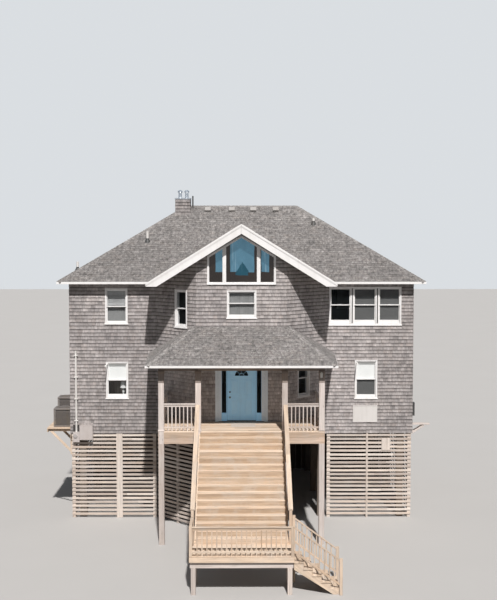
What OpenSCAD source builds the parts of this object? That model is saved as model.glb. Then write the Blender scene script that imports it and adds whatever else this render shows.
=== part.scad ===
// Two-storey shingled beach house on piles, with a half-octagon bay under a
// front gable, a covered porch and two flights of wooden stairs.
// Millimetres. Origin on the ground under the middle of the body.
// X runs to the right seen from the stairs, -Y is the stair side, +Z is up.

/* [House body] */
// Width of the two-storey body over the walls
body_w = 12540; // [11500:10:13500]
// Depth of the two-storey body over the walls
body_d = 8100; // [7400:10:8800]
// Thickness of every outer wall
wall_t = 160; // [120:5:220]
// Height of the bottom edge of the siding
siding_z = 3140; // [2600:10:3300]
// Top of the first floor, level with the porch
floor1_z = 3850; // [3700:10:4000]
// Top of the second floor
floor2_z = 6350; // [6300:10:6500]
// Thickness of the first floor
floor1_t = 300; // [200:10:350]
// Thickness of the second floor
floor2_t = 250; // [200:10:300]

/* [Main roof] */
// Underside of the eaves
eave_z = 8636; // [8500:2:8800]
// Height of the plumb eave edge
eave_h = 97; // [80:1:140]
// Overhang of the roof past the walls
over = 380; // [300:10:500]
// Roof slope as rise over run
pitch = 0.64; // [0.5:0.01:0.8]
// Thickness of the roof measured plumb
roof_t = 200; // [150:10:250]
// Thickness of the white fascia boards
fascia_t = 20; // [15:1:30]

/* [Bay and front gable] */
// How far the bay stands out in front of the body
bay_out = 1550; // [1300:10:1700]
// Half width of the middle facet of the bay
bay_half = 1580; // [1400:10:1700]
// Half width of the gable roof at its eaves
gable_half = 3300; // [3200:10:3400]
// Slope of the gable roof
gable_pitch = 0.62; // [0.55:0.01:0.7]
// Overhang of the gable in front of the middle facet
gable_over = 400; // [300:10:500]
// Plumb height of the rake boards
rake_h = 335; // [250:5:400]

/* [Porch] */
// Distance of the porch edge from the wing walls
porch_out = 3450; // [3200:10:3700]
// Half width of the porch floor
porch_half = 2780; // [2600:10:2900]
// Side of the square porch posts
post = 190; // [140:5:220]
// Distance from the centre line to the middle of the outer posts
post_outer = 2685; // [2500:5:2690]
// Distance from the centre line to the middle of the stair posts
post_inner = 1450; // [1400:5:1500]
// Top of the porch roof at its eave
porch_eave_z = 6110; // [6000:2:6250]
// Slope of the porch roof in front
porch_pitch = 0.475; // [0.45:0.005:0.6]
// Slope of the porch roof at both sides
porch_side_pitch = 0.68; // [0.6:0.01:0.8]
// Half width of the porch roof at its front edge
porch_roof_half = 3170; // [3140:10:3300]
// Half width of the porch roof where it meets the wing walls
porch_roof_wide = 3380; // [3300:10:3500]
// Distance of the porch eave from the wing walls
porch_roof_out = 3850; // [3600:10:3900]
// Height of the hand rails over the floors
rail_h = 925; // [850:5:1000]

/* [Stairs] */
// Height of the landing between the flights
landing_z = 1150; // [1000:10:1400]
// Risers of the upper flight
upper_risers = 16; // [14:1:18]
// Tread depth of the upper flight
upper_run = 250; // [230:5:280]
// Half length of the upper treads
tread_half = 1380; // [1300:5:1400]
// Depth of the landing
landing_d = 1250; // [1100:10:1400]
// Half width of the landing
landing_half = 1520; // [1500:10:1600]
// Risers of the lower flight
lower_risers = 6; // [5:1:7]
// Tread depth of the lower flight
lower_run = 260; // [230:5:280]

/* [Skirt] */
// Height of one slat under the house
slat_h = 82; // [70:1:100]
// Spacing of the slats
slat_pitch = 146; // [130:1:160]
// Thickness of the slats
slat_t = 22; // [15:1:30]

/* [Windows and door] */
// Width of the white casing around a window
casing = 70; // [50:5:100]
// How far the casing stands proud of the wall
proud = 25; // [15:1:40]
// Half width of the whole door unit over its casing
unit_half = 925; // [900:5:950]
// Half width of the door slab
door_half = 505; // [450:5:515]
// Height of the door slab
door_h = 2030; // [1980:5:2080]
// Thickness of the door slab
door_t = 45; // [40:1:55]

/* [Hidden] */

hw = body_w / 2;
hd = body_d / 2;
yf = -hd;                       // outer face of the wing walls
yb = yf - bay_out;              // outer face of the middle facet
bay_edge = bay_half + bay_out;  // where the facets meet the wing walls
mit = wall_t * tan(22.5);       // mitre of the bay corners
rx = hw + over;
ry = hd + over;
eave_top = eave_z + eave_h;
ridge_z = eave_top + pitch * ry;
gable_top = eave_top + gable_pitch * gable_half;
gable_in = (gable_top - roof_t - eave_z) / gable_pitch;
gy = yb - gable_over;
py = yf - porch_out;
pry = yf - porch_roof_out;
flare = atan((porch_roof_wide - porch_roof_half) / porch_roof_out);
hip_k = (porch_pitch / porch_side_pitch - sin(flare)) / cos(flare);   // sideways run of the porch hips
rise1 = (floor1_z - landing_z) / upper_risers;
ly1 = py - (upper_risers - 1) * upper_run;   // back edge of the landing
ly0 = ly1 - landing_d;                       // front edge of the landing
rise2 = landing_z / lower_risers;
lx1 = landing_half + (lower_risers - 1) * lower_run;
in_x = hw - wall_t;
in_y = hd - wall_t;
big = 30000;

// Windows as [centre x, bottom z, width, height, sashes side by side]
left_windows = [[-4560, 7181, 820, 1279, 1], [-4550, 4440, 812, 1327, 1]];
right_windows = [[4512, 7131, 2640, 1378, 3], [4560, 4430, 824, 1400, 1]];
back_windows = [[-4560, 7131, 820, 1329, 1], [-1520, 7131, 820, 1329, 1],
  [1520, 7131, 820, 1329, 1], [4560, 7131, 820, 1329, 1],
  [-4560, 4440, 820, 1329, 1], [-1520, 4440, 820, 1329, 1],
  [1520, 4440, 820, 1329, 1], [4560, 4440, 820, 1329, 1]];
side_windows = [[-2000, 7131, 820, 1329, 1], [2000, 7131, 820, 1329, 1],
  [-2000, 4440, 820, 1329, 1], [2000, 4440, 820, 1329, 1]];
small_window = [5, 7506, 1036, 963, 1];
// On the facets, measured along the facet from the bay corner
facet_l = [800, 7131, 640, 1329, 1];
facet_r = [890, 4640, 640, 1329, 1];

// Gable window outline
gw_half = 1195;
gw_z0 = 8690;
gw_side = 9660;
gw_top = 10386;

module box(x0, x1, y0, y1, z0, z1) {
  translate([x0, y0, z0]) cube([x1 - x0, y1 - y0, z1 - z0]);
}
// Extrudes a profile of (x, z) points along Y from y0 to y1
module along_y(pts, y0, y1) {
  translate([0, y1, 0]) rotate([90, 0, 0]) linear_extrude(y1 - y0) polygon(pts);
}
// Extrudes a profile of (y, z) points along X from x0 to x1
module along_x(pts, x0, x1) {
  translate([x0, 0, 0]) rotate([90, 0, 90]) linear_extrude(x1 - x0) polygon(pts);
}
module plan(pts, z0, z1) {
  translate([0, 0, z0]) linear_extrude(z1 - z0) polygon(pts);
}

// The solid under the main roof surface
module hip(drop, z0) {
  intersection() {
    along_x([[-ry, z0], [-ry, max(z0, eave_top - drop)],
      [0, ridge_z - drop], [ry, max(z0, eave_top - drop)], [ry, z0]], -rx, rx);
    along_y([[-rx, z0], [-rx, max(z0, eave_top - drop)], [-rx + ry, ridge_z - drop],
      [-rx + ry, ridge_z + 500], [rx - ry, ridge_z + 500], [rx - ry, ridge_z - drop],
      [rx, max(z0, eave_top - drop)], [rx, z0]], -ry, ry);
  }
}
// The attic space, lowered by the roof thickness and above the ceiling
module attic() {
  zc = eave_z + 84;
  t0 = (zc - (eave_top - roof_t)) / pitch;
  intersection() {
    along_x([[-ry + t0, zc], [0, ridge_z - roof_t], [ry - t0, zc]], -rx, rx);
    along_y([[-rx + t0, zc], [-rx + ry, ridge_z - roof_t],
      [rx - ry, ridge_z - roof_t], [rx - t0, zc]], -ry, ry);
  }
}
// The space under the gable roof, open to the bay
module gable_space(y0, y1, z0) {
  along_y([[-gable_in, z0], [-gable_in, eave_z], [0, gable_top - roof_t],
    [gable_in, eave_z], [gable_in, z0]], y0, y1);
}
module above_gable() {
  along_y([[-4000, eave_z], [-gable_in, eave_z], [0, gable_top - roof_t],
    [gable_in, eave_z], [4000, eave_z], [4000, 13000], [-4000, 13000]], -7000, 0);
}
module bay_prism(z0, z1) {
  plan([[-bay_edge, yf], [-bay_half, yb], [bay_half, yb], [bay_edge, yf]], z0, z1);
}

// Sloped member in an X plane, from (y0, z0) to (y1, z1), plumb height h under the line
module slope_x(x0, x1, y0, z0, y1, z1, h) {
  along_x([[y0, z0], [y1, z1], [y1, z1 - h], [y0, z0 - h]], x0, x1);
}
// Sloped member in a Y plane, from (x0, z0) to (x1, z1), plumb height h under the line
module slope_y(y0, y1, x0, z0, x1, z1, h) {
  along_y([[x0, z0], [x1, z1], [x1, z1 - h], [x0, z0 - h]], y0, y1);
}

// Window parts stand in the plane y = 0 with the outside towards -Y
module win_hole(w) {
  box(w[0] - w[2] / 2 + 45, w[0] + w[2] / 2 - 45, -200, wall_t + 200,
    w[1] + 45, w[1] + w[3] - 45);
}
module win_frame(w) {
  x0 = w[0] - w[2] / 2;
  x1 = w[0] + w[2] / 2;
  z0 = w[1];
  z1 = w[1] + w[3];
  n = w[4];
  sw = (w[2] - 2 * casing) / n;
  difference() {
    union() {
      box(x0, x1, -proud, 0, z0, z1);
      box(x0 + 45, x1 - 45, 0, 110, z0 + 45, z1 - 45);
      box(x0 - 25, x1 + 25, -proud - 20, 0, z0 - 35, z0);
    }
    for (i = [0:n - 1])
      box(x0 + casing + sw * i + (i > 0 ? 45 : 0),
        x0 + casing + sw * (i + 1) - (i < n - 1 ? 45 : 0),
        -100, 200, z0 + casing, z1 - casing);
  }
  for (i = [0:n - 1]) {
    a = x0 + casing + sw * i + (i > 0 ? 45 : 0);
    b = x0 + casing + sw * (i + 1) - (i < n - 1 ? 45 : 0);
    zm = (z0 + z1) / 2;
    box(a, b, 20, 60, zm - 25, zm + 25);
  }
}
module win_glass(w) {
  x0 = w[0] - w[2] / 2;
  n = w[4];
  sw = (w[2] - 2 * casing) / n;
  for (i = [0:n - 1])
    box(x0 + casing + sw * i + (i > 0 ? 45 : 0),
      x0 + casing + sw * (i + 1) - (i < n - 1 ? 45 : 0),
      60, 68, w[1] + casing, w[1] + w[3] - casing);
}
// Places children made for y = 0 on each wall
module on_front() { translate([0, yf, 0]) children(); }
module on_bay() { translate([0, yb, 0]) children(); }
module on_back() { translate([0, hd, 0]) rotate([0, 0, 180]) children(); }
module on_left() { translate([-hw, 0, 0]) rotate([0, 0, -90]) children(); }
module on_right() { translate([hw, 0, 0]) rotate([0, 0, 90]) children(); }
module on_facet_left() { translate([-bay_half, yb, 0]) rotate([0, 0, -45]) mirror([1, 0, 0]) children(); }
module on_facet_right() { translate([bay_half, yb, 0]) rotate([0, 0, 45]) children(); }

// ---------------------------------------------------------------- structure
module foundation_piles() color("#8c8375") {
  for (x = [-5850, -2925, 0, 2925, 5850]) for (y = [-3750, 0, 3750])
    box(x - 125, x + 125, y - 125, y + 125, 0, 3200);
  for (x = [-1350, 1350]) box(x - 125, x + 125, yb + 250, yb + 500, 0, floor1_z - floor1_t);
}
module floor_beams() color("#8a7c69") {
  for (y = [-3750, 0, 3750]) box(-in_x, in_x, y - 100, y + 100, 3200, floor1_z - floor1_t);
}
module inside_plan(z0, z1) {
  plan([[-in_x, in_y], [-in_x, -in_y], [-bay_edge + mit, -in_y],
    [-bay_half + mit, yb + wall_t], [bay_half - mit, yb + wall_t],
    [bay_edge - mit, -in_y], [in_x, -in_y], [in_x, in_y]], z0, z1);
}
module first_floor() color("#b39b78") inside_plan(floor1_z - floor1_t, floor1_z);
module second_floor() color("#b39b78") inside_plan(floor2_z - floor2_t, floor2_z);

// ---------------------------------------------------------------- walls
module front_wall() color("#8d8580") difference() {
  for (q = [-1, 1])
    plan([[q * hw, yf], [q * bay_edge, yf], [q * (bay_edge - mit), -in_y], [q * hw, -in_y]],
      siding_z, eave_z);
  on_front() for (w = left_windows) win_hole(w);
  on_front() for (w = right_windows) win_hole(w);
}
module bay_facets() color("#8d8580") difference() {
  for (q = [-1, 1])
    plan([[q * bay_edge, yf], [q * bay_half, yb], [q * (bay_half - mit), yb + wall_t],
      [q * (bay_edge - mit), -in_y]], siding_z, gable_top);
  above_gable();
  on_facet_left() win_hole(facet_l);
  on_facet_right() win_hole(facet_r);
}
door_top = floor1_z + door_h + 70;
hole_half = 800;
module bay_walls_beside_door() color("#8d8580")
  for (q = [-1, 1])
    plan([[q * bay_half, yb], [q * hole_half, yb], [q * hole_half, yb + wall_t],
      [q * (bay_half - mit), yb + wall_t]], siding_z, door_top);
module gw_outline(d) {
  s = (gw_top - gw_side) / gw_half;
  k = d * sqrt(1 + s * s);
  polygon([[-gw_half + d, gw_z0 + d], [gw_half - d, gw_z0 + d],
    [gw_half - d, gw_side - k + s * d], [0, gw_top - k], [-gw_half + d, gw_side - k + s * d]]);
}
module gw_prism(d, y0, y1) {
  translate([0, y1, 0]) rotate([90, 0, 0]) linear_extrude(y1 - y0) gw_outline(d);
}
module bay_gable_wall() color("#8d8580") difference() {
  plan([[-bay_half, yb], [bay_half, yb], [bay_half - mit, yb + wall_t],
    [-bay_half + mit, yb + wall_t]], door_top, gable_top);
  above_gable();
  on_bay() win_hole(small_window);
  gw_prism(45, yb - 100, yb + 400);
}
module side_walls() color("#8d8580") difference() {
  union() {
    box(-hw, -in_x, -in_y, in_y, siding_z, eave_z);
    box(in_x, hw, -in_y, in_y, siding_z, eave_z);
  }
  on_left() for (w = side_windows) win_hole(w);
  on_right() for (w = side_windows) win_hole(w);
}
module back_wall() color("#8d8580") difference() {
  box(-hw, hw, in_y, hd, siding_z, eave_z);
  on_back() for (w = back_windows) win_hole(w);
}

// ---------------------------------------------------------------- roofs
module main_roof() color("#86837f") difference() {
  hip(0, eave_z);
  attic();
  gable_space(-7000, -2050, eave_z - 100);
}
module gable_roof() color("#86837f") difference() {
  along_y([[-gable_half, eave_z], [-gable_half, eave_top], [0, gable_top],
    [gable_half, eave_top], [gable_half, eave_z], [gable_in, eave_z],
    [0, gable_top - roof_t], [-gable_in, eave_z]], gy + 30, -1000);
  hip(0, eave_z - 10);
}
module rake_boards() color("#f2efea") {
  zi = gable_top - rake_h;
  xi = (zi - eave_z + 16) / gable_pitch;
  along_y([[-gable_half, eave_z - 16], [-gable_half, eave_top + 8], [0, gable_top + 10],
    [gable_half, eave_top + 8], [gable_half, eave_z - 16], [xi, eave_z - 16], [0, zi],
    [-xi, eave_z - 16]], gy, gy + 30);
}
module eave_fascia() color("#f2efea") {
  difference() {
    box(-rx - fascia_t, rx + fascia_t, -ry - fascia_t, ry + fascia_t, eave_z - 6, eave_top - 4);
    box(-rx, rx, -ry, ry, eave_z - 100, eave_top + 100);
    box(-gable_half, gable_half, -ry - 100, 0, eave_z - 100, eave_top + 100);
  }
  for (s = [-1, 1])
    box(min(s * gable_half, s * (gable_half + fascia_t)), max(s * gable_half, s * (gable_half + fascia_t)),
      gy, -ry - fascia_t, eave_z - 6, eave_top - 4);
  // around the porch roof
  difference() {
    plan([[-porch_roof_half - fascia_t, pry - fascia_t], [porch_roof_half + fascia_t, pry - fascia_t],
      [porch_roof_wide + fascia_t, yf], [-porch_roof_wide - fascia_t, yf]], porch_eave_z - 85, porch_eave_z - 4);
    intersection() {
      box(-5000, 5000, pry, yf + 100, porch_eave_z - 300, porch_eave_z + 50);
      porch_side(-1, 0, porch_eave_z + 100, porch_eave_z - 300);
      porch_side(1, 0, porch_eave_z + 100, porch_eave_z - 300);
    }
  }
}

pt = 130;
porch_edge = 79;                // plumb height of the roof edge
// Space under one side slope, from a line inset from its eave
module porch_side(q, inset, z, zlow) {
  translate([q * porch_roof_half, pry, 0]) rotate([0, 0, -q * flare])
    along_y([[-q * inset, zlow], [-q * inset, z], [-q * 9000, z + porch_side_pitch * (9000 - inset)],
      [-q * 9000, zlow]], -1000, 6000);
}
module porch_outer() {
  z0 = porch_eave_z - porch_edge;
  intersection() {
    along_x([[pry, z0], [pry, porch_eave_z], [yf, porch_eave_z + porch_pitch * (yf - pry)], [yf, z0]],
      -4500, 4500);
    porch_side(-1, 0, porch_eave_z, z0);
    porch_side(1, 0, porch_eave_z, z0);
  }
}
module porch_inner() {
  z0 = porch_eave_z - porch_edge;
  intersection() {
    along_x([[pry + (pt - porch_edge) / porch_pitch, z0], [yf, porch_eave_z - pt + porch_pitch * (yf - pry)],
      [yf, z0 - 200], [pry + (pt - porch_edge) / porch_pitch, z0 - 200]], -4600, 4600);
    porch_side(-1, (pt - porch_edge) / porch_side_pitch, z0, z0 - 200);
    porch_side(1, (pt - porch_edge) / porch_side_pitch, z0, z0 - 200);
  }
}
module porch_shell() {
  difference() {
    porch_outer();
    porch_inner();
    bay_prism(4000, 9000);
  }
}
// The hip lines start at the front corners
module porch_roof_front() color("#86837f") intersection() {
  porch_shell();
  plan([[-porch_roof_half, pry], [porch_roof_half, pry],
    [porch_roof_half - hip_k * 3800, pry + 3800], [-porch_roof_half + hip_k * 3800, pry + 3800]], 5000, 9000);
}
module porch_roof_sides() color("#86837f") intersection() {
  porch_shell();
  for (q = [-1, 1])
    plan([[q * porch_roof_half, pry], [q * (porch_roof_half - hip_k * porch_roof_out), yf],
      [q * (porch_roof_wide + 200), yf], [q * (porch_roof_half + 300), pry]], 5000, 9000);
}

// ---------------------------------------------------------------- porch
beam_z = 5880;
module porch_beam() color("#9a9388") difference() {
  intersection() {
    union() {
      box(-porch_half, porch_half, py + 45, py + 145, beam_z, 7000);
      for (q = [-1, 1])
        box(q > 0 ? porch_half - 145 : -porch_half, q > 0 ? porch_half : -porch_half + 145,
          py + 145, yf, beam_z, 7000);
    }
    porch_inner();
  }
  bay_prism(4000, 9000);
}
post_x = [-post_outer, -post_inner, post_inner, post_outer];
module porch_posts() color("#a19a90") {
  for (x = post_x) box(x - post / 2, x + post / 2, py, py + post, 0, beam_z);
}
module post_cut() {
  for (x = post_x) box(x - post / 2, x + post / 2, py - 50, py + post, 0, 9000);
}
module porch_plan(z0, z1) {
  plan([[-porch_half, py], [porch_half, py], [porch_half, yf - (bay_edge - porch_half)],
    [bay_half, yb], [-bay_half, yb], [-porch_half, yf - (bay_edge - porch_half)]], z0, z1);
}
module porch_floor() color("#b39b78") difference() {
  union() {
    porch_plan(floor1_z - 38, floor1_z);
    // rim boards in front and at both ends
    box(-porch_half, porch_half, py, py + 45, floor1_z - 420, floor1_z - 38);
    for (s = [-1, 1])
      box(s > 0 ? porch_half - 45 : -porch_half, s > 0 ? porch_half : -porch_half + 45,
        py, yf, floor1_z - 330, floor1_z - 38);
    // joists
    for (x = [-2100, -900, -300, 300, 900, 2100])
      box(x - 25, x + 25, py + 45, yf - 100, floor1_z - 230, floor1_z - 38);
  }
  post_cut();
  bay_prism(2000, 9000);
}
bal = 35;
// Straight rail panel along X between x0 and x1 at y
module panel_x(x0, x1, y, z, h, n) {
  box(x0, x1, y - 45, y + 45, z + h - 40, z + h);
  box(x0, x1, y - 20, y + 20, z + 90, z + 150);
  for (i = [1:n]) {
    x = x0 + (x1 - x0) * i / (n + 1);
    box(x - bal / 2, x + bal / 2, y - bal / 2, y + bal / 2, z, z + h - 40);
  }
}
module panel_y(y0, y1, x, z, h, n) {
  box(x - 45, x + 45, y0, y1, z + h - 40, z + h);
  box(x - 20, x + 20, y0, y1, z + 90, z + 150);
  for (i = [1:n]) {
    y = y0 + (y1 - y0) * i / (n + 1);
    box(x - bal / 2, x + bal / 2, y - bal / 2, y + bal / 2, z, z + h - 40);
  }
}
module porch_rails() color("#a89a82") difference() {
  for (s = [-1, 1]) {
    a = min(s * (post_inner + post / 2), s * (post_outer - post / 2));
    b = max(s * (post_inner + post / 2), s * (post_outer - post / 2));
    panel_x(a, b, py + 95, floor1_z, rail_h, 7);
    panel_y(py + post, yf - (bay_edge - post_outer), s * post_outer, floor1_z, rail_h, 20);
  }
  bay_prism(2000, 9000);
}

// ---------------------------------------------------------------- upper flight
module upper_treads() color("#c4ad86") {
  for (k = [1:upper_risers - 1]) {
    y1 = py - upper_run * (k - 1);
    z = floor1_z - rise1 * k;
    // tread with its riser behind it
    box(-tread_half, tread_half, y1 - upper_run - 22, y1, z - 38, z);
    box(-tread_half, tread_half, y1 - 20, y1, z, z + rise1 - 38);
  }
  box(-tread_half, tread_half, ly1 - 20, ly1, landing_z, landing_z + rise1 - 38);
}
s1 = rise1 / upper_run;
module upper_stringers() color("#bda982") {
  // side boards just under the line of the tread edges
  for (q = [-1, 1]) {
    x0 = q > 0 ? tread_half : -tread_half - 45;
    along_x([[py, floor1_z - 85], [ly1 - 20, landing_z + rise1 - 85 - s1 * 20],
      [ly1 - 20, landing_z], [ly1, landing_z], [ly1, landing_z - 170], [py, floor1_z - 340]],
      x0, x0 + 45);
  }
  // stepped carriages under the treads
  for (x = [-460, 460])
    along_x(concat([[py, floor1_z - 340]],
      [for (i = [1:2 * upper_risers - 2]) let (k = ceil(i / 2))
        [py - upper_run * (i % 2 == 1 ? k - 1 : k), floor1_z - rise1 * k - 38]],
      [[ly1, landing_z - 170]]), x - 22, x + 22);
}
module upper_stair_rails() color("#c9b894") {
  y0 = py;
  y1 = ly1 - 45;
  z0 = floor1_z + rail_h - 60;
  z1 = z0 + s1 * (y1 - y0);
  for (q = [-1, 1]) {
    x0 = q > 0 ? tread_half + 45 : -tread_half - 135;
    xc = x0 + 45;
    slope_x(xc - 70, xc + 70, y0, z0 + 38, y1, z1 + 38, 38);
    slope_x(x0 + 25, x0 + 65, y0, z0 - 760, y1, z1 - 760, 80);
    for (i = [1:26]) {
      y = y0 + (y1 - y0) * i / 27;
      z = z0 + s1 * (y - y0);
      box(xc - bal / 2, xc + bal / 2, y - bal / 2, y + bal / 2, z - 790, z + 10);
    }
    for (t = [0.25, 0.62]) {
      y = y0 + (y1 - y0) * t;
      z = z0 + s1 * (y - y0);
      box(x0, x0 + 90, y - 45, y + 45, z - 1050, z + 5);
    }
    box(x0, x0 + 90, y1 - 45, y1 + 45, landing_z, z1 + 60);
  }
}

// ---------------------------------------------------------------- landing
module landing_deck() color("#c4ad86") {
  box(-landing_half, landing_half, ly0, ly1, landing_z - 38, landing_z);
  box(-landing_half, landing_half, ly0, ly0 + 40, landing_z - 190, landing_z - 38);
  box(-landing_half, landing_half, ly1 - 40, ly1, landing_z - 190, landing_z - 38);
  box(-landing_half, -landing_half + 40, ly0 + 40, ly1 - 40, landing_z - 190, landing_z - 38);
  box(landing_half - 40, landing_half, ly0 + 40, ly1 - 40, landing_z - 190, landing_z - 38);
  for (x = [-900, -300, 300, 900]) box(x - 20, x + 20, ly0 + 40, ly1 - 40, landing_z - 190, landing_z - 38);
}
lp = 140;
module landing_posts() color("#a89a82") {
  for (x = [-landing_half + lp / 2 + 50, landing_half - lp / 2 - 50])
    for (y = [ly0 + 50 + lp / 2, ly1 - 50 - lp / 2])
      box(x - lp / 2, x + lp / 2, y - lp / 2, y + lp / 2, 0, landing_z - 190 - 180);
  for (y = [ly0 + 120, ly1 - 120])
    box(-landing_half + 20, landing_half - 20, y - 40, y + 40, landing_z - 190 - 180, landing_z - 190);
}
module landing_rail() color("#c9b894") {
  h = 860;
  box(-landing_half, -landing_half + 90, ly0, ly0 + 90, landing_z, landing_z + h);
  box(landing_half - 90, landing_half, ly0, ly0 + 90, landing_z, landing_z + h);
  box(-landing_half, -landing_half + 90, ly1 - 240, ly1 - 150, landing_z, landing_z + h);
  panel_x(-landing_half + 90, landing_half - 90, ly0 + 45, landing_z, h, 19);
  panel_y(ly0 + 90, ly1 - 240, -landing_half + 45, landing_z, h, 5);
}

// ---------------------------------------------------------------- lower flight
module lower_treads() color("#c4ad86") {
  for (k = [1:lower_risers - 1]) {
    x0 = landing_half + lower_run * (k - 1);
    z = landing_z - rise2 * k;
    // tread ends lie on the side boards, clear of the rail posts
    box(x0, x0 + lower_run + 22, ly0 + (k == lower_risers - 1 ? 92 : 66),
      ly1 - (k == 1 || k == lower_risers - 1 ? 92 : 66), z - 38, z);
    box(x0, x0 + 20, ly0 + 92, ly1 - 92, z, z + rise2 - 38);
  }
}
module lower_stringers() color("#bda982") {
  // side boards cut to the steps
  for (y = [ly0 + 90, ly1 - 130])
    along_y(concat([for (i = [0:2 * lower_risers - 3]) let (k = floor(i / 2) + 1)
        [landing_half + lower_run * (i % 2 == 0 ? k - 1 : k), landing_z - rise2 * k - 38]],
      [[lx1, 0], [lx1 - 160, 0], [landing_half, landing_z - 420]]), y, y + 40);
}
module lower_stair_rails() color("#c9b894") {
  s = rise2 / lower_run;
  h = 860;
  x0 = landing_half;
  x1 = lx1 + 100;
  for (q = [0, 1]) {
    y0 = q == 0 ? ly0 : ly1 - 90;
    yc = y0 + 45;
    za = landing_z + h;
    zb = za - s * (x1 - x0);
    slope_y(yc - 45, yc + 45, x0, za, x1 - 90, zb + s * 90, 40);
    slope_y(yc - 20, yc + 20, x0, za - 700, x1 - 90, zb + s * 90 - 700, 60);
    for (i = [1:8]) {
      x = x0 + (x1 - 90 - x0) * i / 9;
      z = za - s * (x - x0);
      box(x - bal / 2, x + bal / 2, yc - bal / 2, yc + bal / 2, z - 730, z - 20);
    }
    box(x1 - 90, x1, y0, y0 + 90, 0, zb + s * 90 + 30);
    if (q == 1) box(x0, x0 + 90, y0, y0 + 90, 0, za + 20);
  }
}

// ---------------------------------------------------------------- roof items
module chimney() color("#8d8580") difference() {
  box(-2610, -2035, -560, 80, 10700, 11835);
  hip(0, eave_z);
}
module chimney_cap() color("#b9bcc0") {
  box(-2635, -2010, -585, 105, 11835, 11865);
  for (x = [-2440, -2175]) {
    translate([x, -240, 11865]) cylinder(h = 230, r = 68, $fn = 48);
    translate([x, -240, 12095]) cylinder(h = 50, r = 96, $fn = 48);
    translate([x, -240, 12145]) cylinder(h = 45, r1 = 96, r2 = 30, $fn = 48);
  }
}
module roof_vents() color("#c9c6c0") {
  a = atan(pitch);
  for (x = [-1342, -386, 466, 1361])
    difference() {
      translate([x, -300, ridge_z - pitch * 300]) rotate([a, 0, 0]) union() {
        translate([-95, -95, -60]) cube([190, 190, 125]);
        translate([-120, -125, 60]) cube([240, 240, 35]);
      }
      hip(0, eave_z);
    }
}
module vent_pipes() color("#e6e3dd") difference() {
  union() {
    translate([-3576, -2190, 9900]) cylinder(h = 640, r = 50, $fn = 32);
    translate([2810, -1140, 10500]) cylinder(h = 560, r = 50, $fn = 32);
    translate([-6050, -3450, 9000]) cylinder(h = 420, r = 45, $fn = 32);
    translate([-1942, -120, 11000]) cylinder(h = 960, r = 28, $fn = 32);
  }
  hip(0, eave_z);
}

// ---------------------------------------------------------------- skirts
n_slats = floor((siding_z - 60) / slat_pitch);
// Slats between x0 and x1 in the plane y = 0, outside towards -Y
module slats(x0, x1, posts) {
  for (i = [0:n_slats - 1]) {
    z = siding_z - 40 - i * slat_pitch;
    box(x0, x1, 20, 20 + slat_t, z - slat_h, z);
  }
  for (p = posts) box(p - 60, p + 60, 20 + slat_t, 20 + slat_t + 70, 0, siding_z - 3);
}
module skirt_front() color("#a89a82") on_front() {
  slats(-hw + 30, -bay_edge, [-hw + 100, -bay_edge - 70]);
  box(-4602, -4376, 0, 20 + slat_t + 70, 0, siding_z - 3);
  slats(bay_edge, hw - 30, [bay_edge + 70, hw - 100]);
  box(4580, 4650, 0, 20 + slat_t + 70, 0, siding_z - 3);
}
module skirt_bay() color("#a89a82") {
  on_facet_left() slats(40, 2150, [110, 1080, 2080]);
  on_bay() slats(-bay_half + 40, bay_half - 40, [-1400, 0, 1400]);
}
module skirt_sides() color("#a89a82") {
  on_left() slats(-in_y + 20, in_y - 20, [-in_y + 90, -1300, 1300, in_y - 90]);
  on_right() slats(-in_y + 20, in_y - 20, [-in_y + 90, -1300, 1300, in_y - 90]);
}
module skirt_back() color("#a89a82") on_back()
  slats(-hw + 30, hw - 30, [-hw + 100, -3000, 0, 3000, hw - 100]);

// ---------------------------------------------------------------- windows
module window_frames() color("#f2efea") {
  on_front() for (w = left_windows) win_frame(w);
  on_front() for (w = right_windows) win_frame(w);
  on_back() for (w = back_windows) win_frame(w);
  on_left() for (w = side_windows) win_frame(w);
  on_right() for (w = side_windows) win_frame(w);
  on_bay() win_frame(small_window);
  on_facet_left() win_frame(facet_l);
  on_facet_right() win_frame(facet_r);
}
module window_glass() color("#5f7f8f") {
  on_front() for (w = left_windows) win_glass(w);
  on_front() for (w = right_windows) win_glass(w);
  on_back() for (w = back_windows) win_glass(w);
  on_left() for (w = side_windows) win_glass(w);
  on_right() for (w = side_windows) win_glass(w);
  on_bay() win_glass(small_window);
  on_facet_left() win_glass(facet_l);
  on_facet_right() win_glass(facet_r);
  gw_prism(casing, yb + 60, yb + 68);
  // side lights of the front door
  for (q = [-1, 1])
    box(q > 0 ? door_half + 27 : -700, q > 0 ? 700 : -door_half - 27,
      yb + 50, yb + 58, fz + 370, fz + 12 + door_h - 24);
}
module gable_window_frame() color("#f2efea") {
  difference() {
    union() {
      gw_prism(0, yb - proud, yb);
      gw_prism(45, yb, yb + 110);
    }
    gw_prism(casing, yb - 100, yb + 200);
  }
  intersection() {
    gw_prism(casing, yb - 10, yb + 100);
    for (x = [-600, 600]) box(x - 60, x + 60, yb - 10, yb + 60, gw_z0, gw_top);
  }
}

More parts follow.
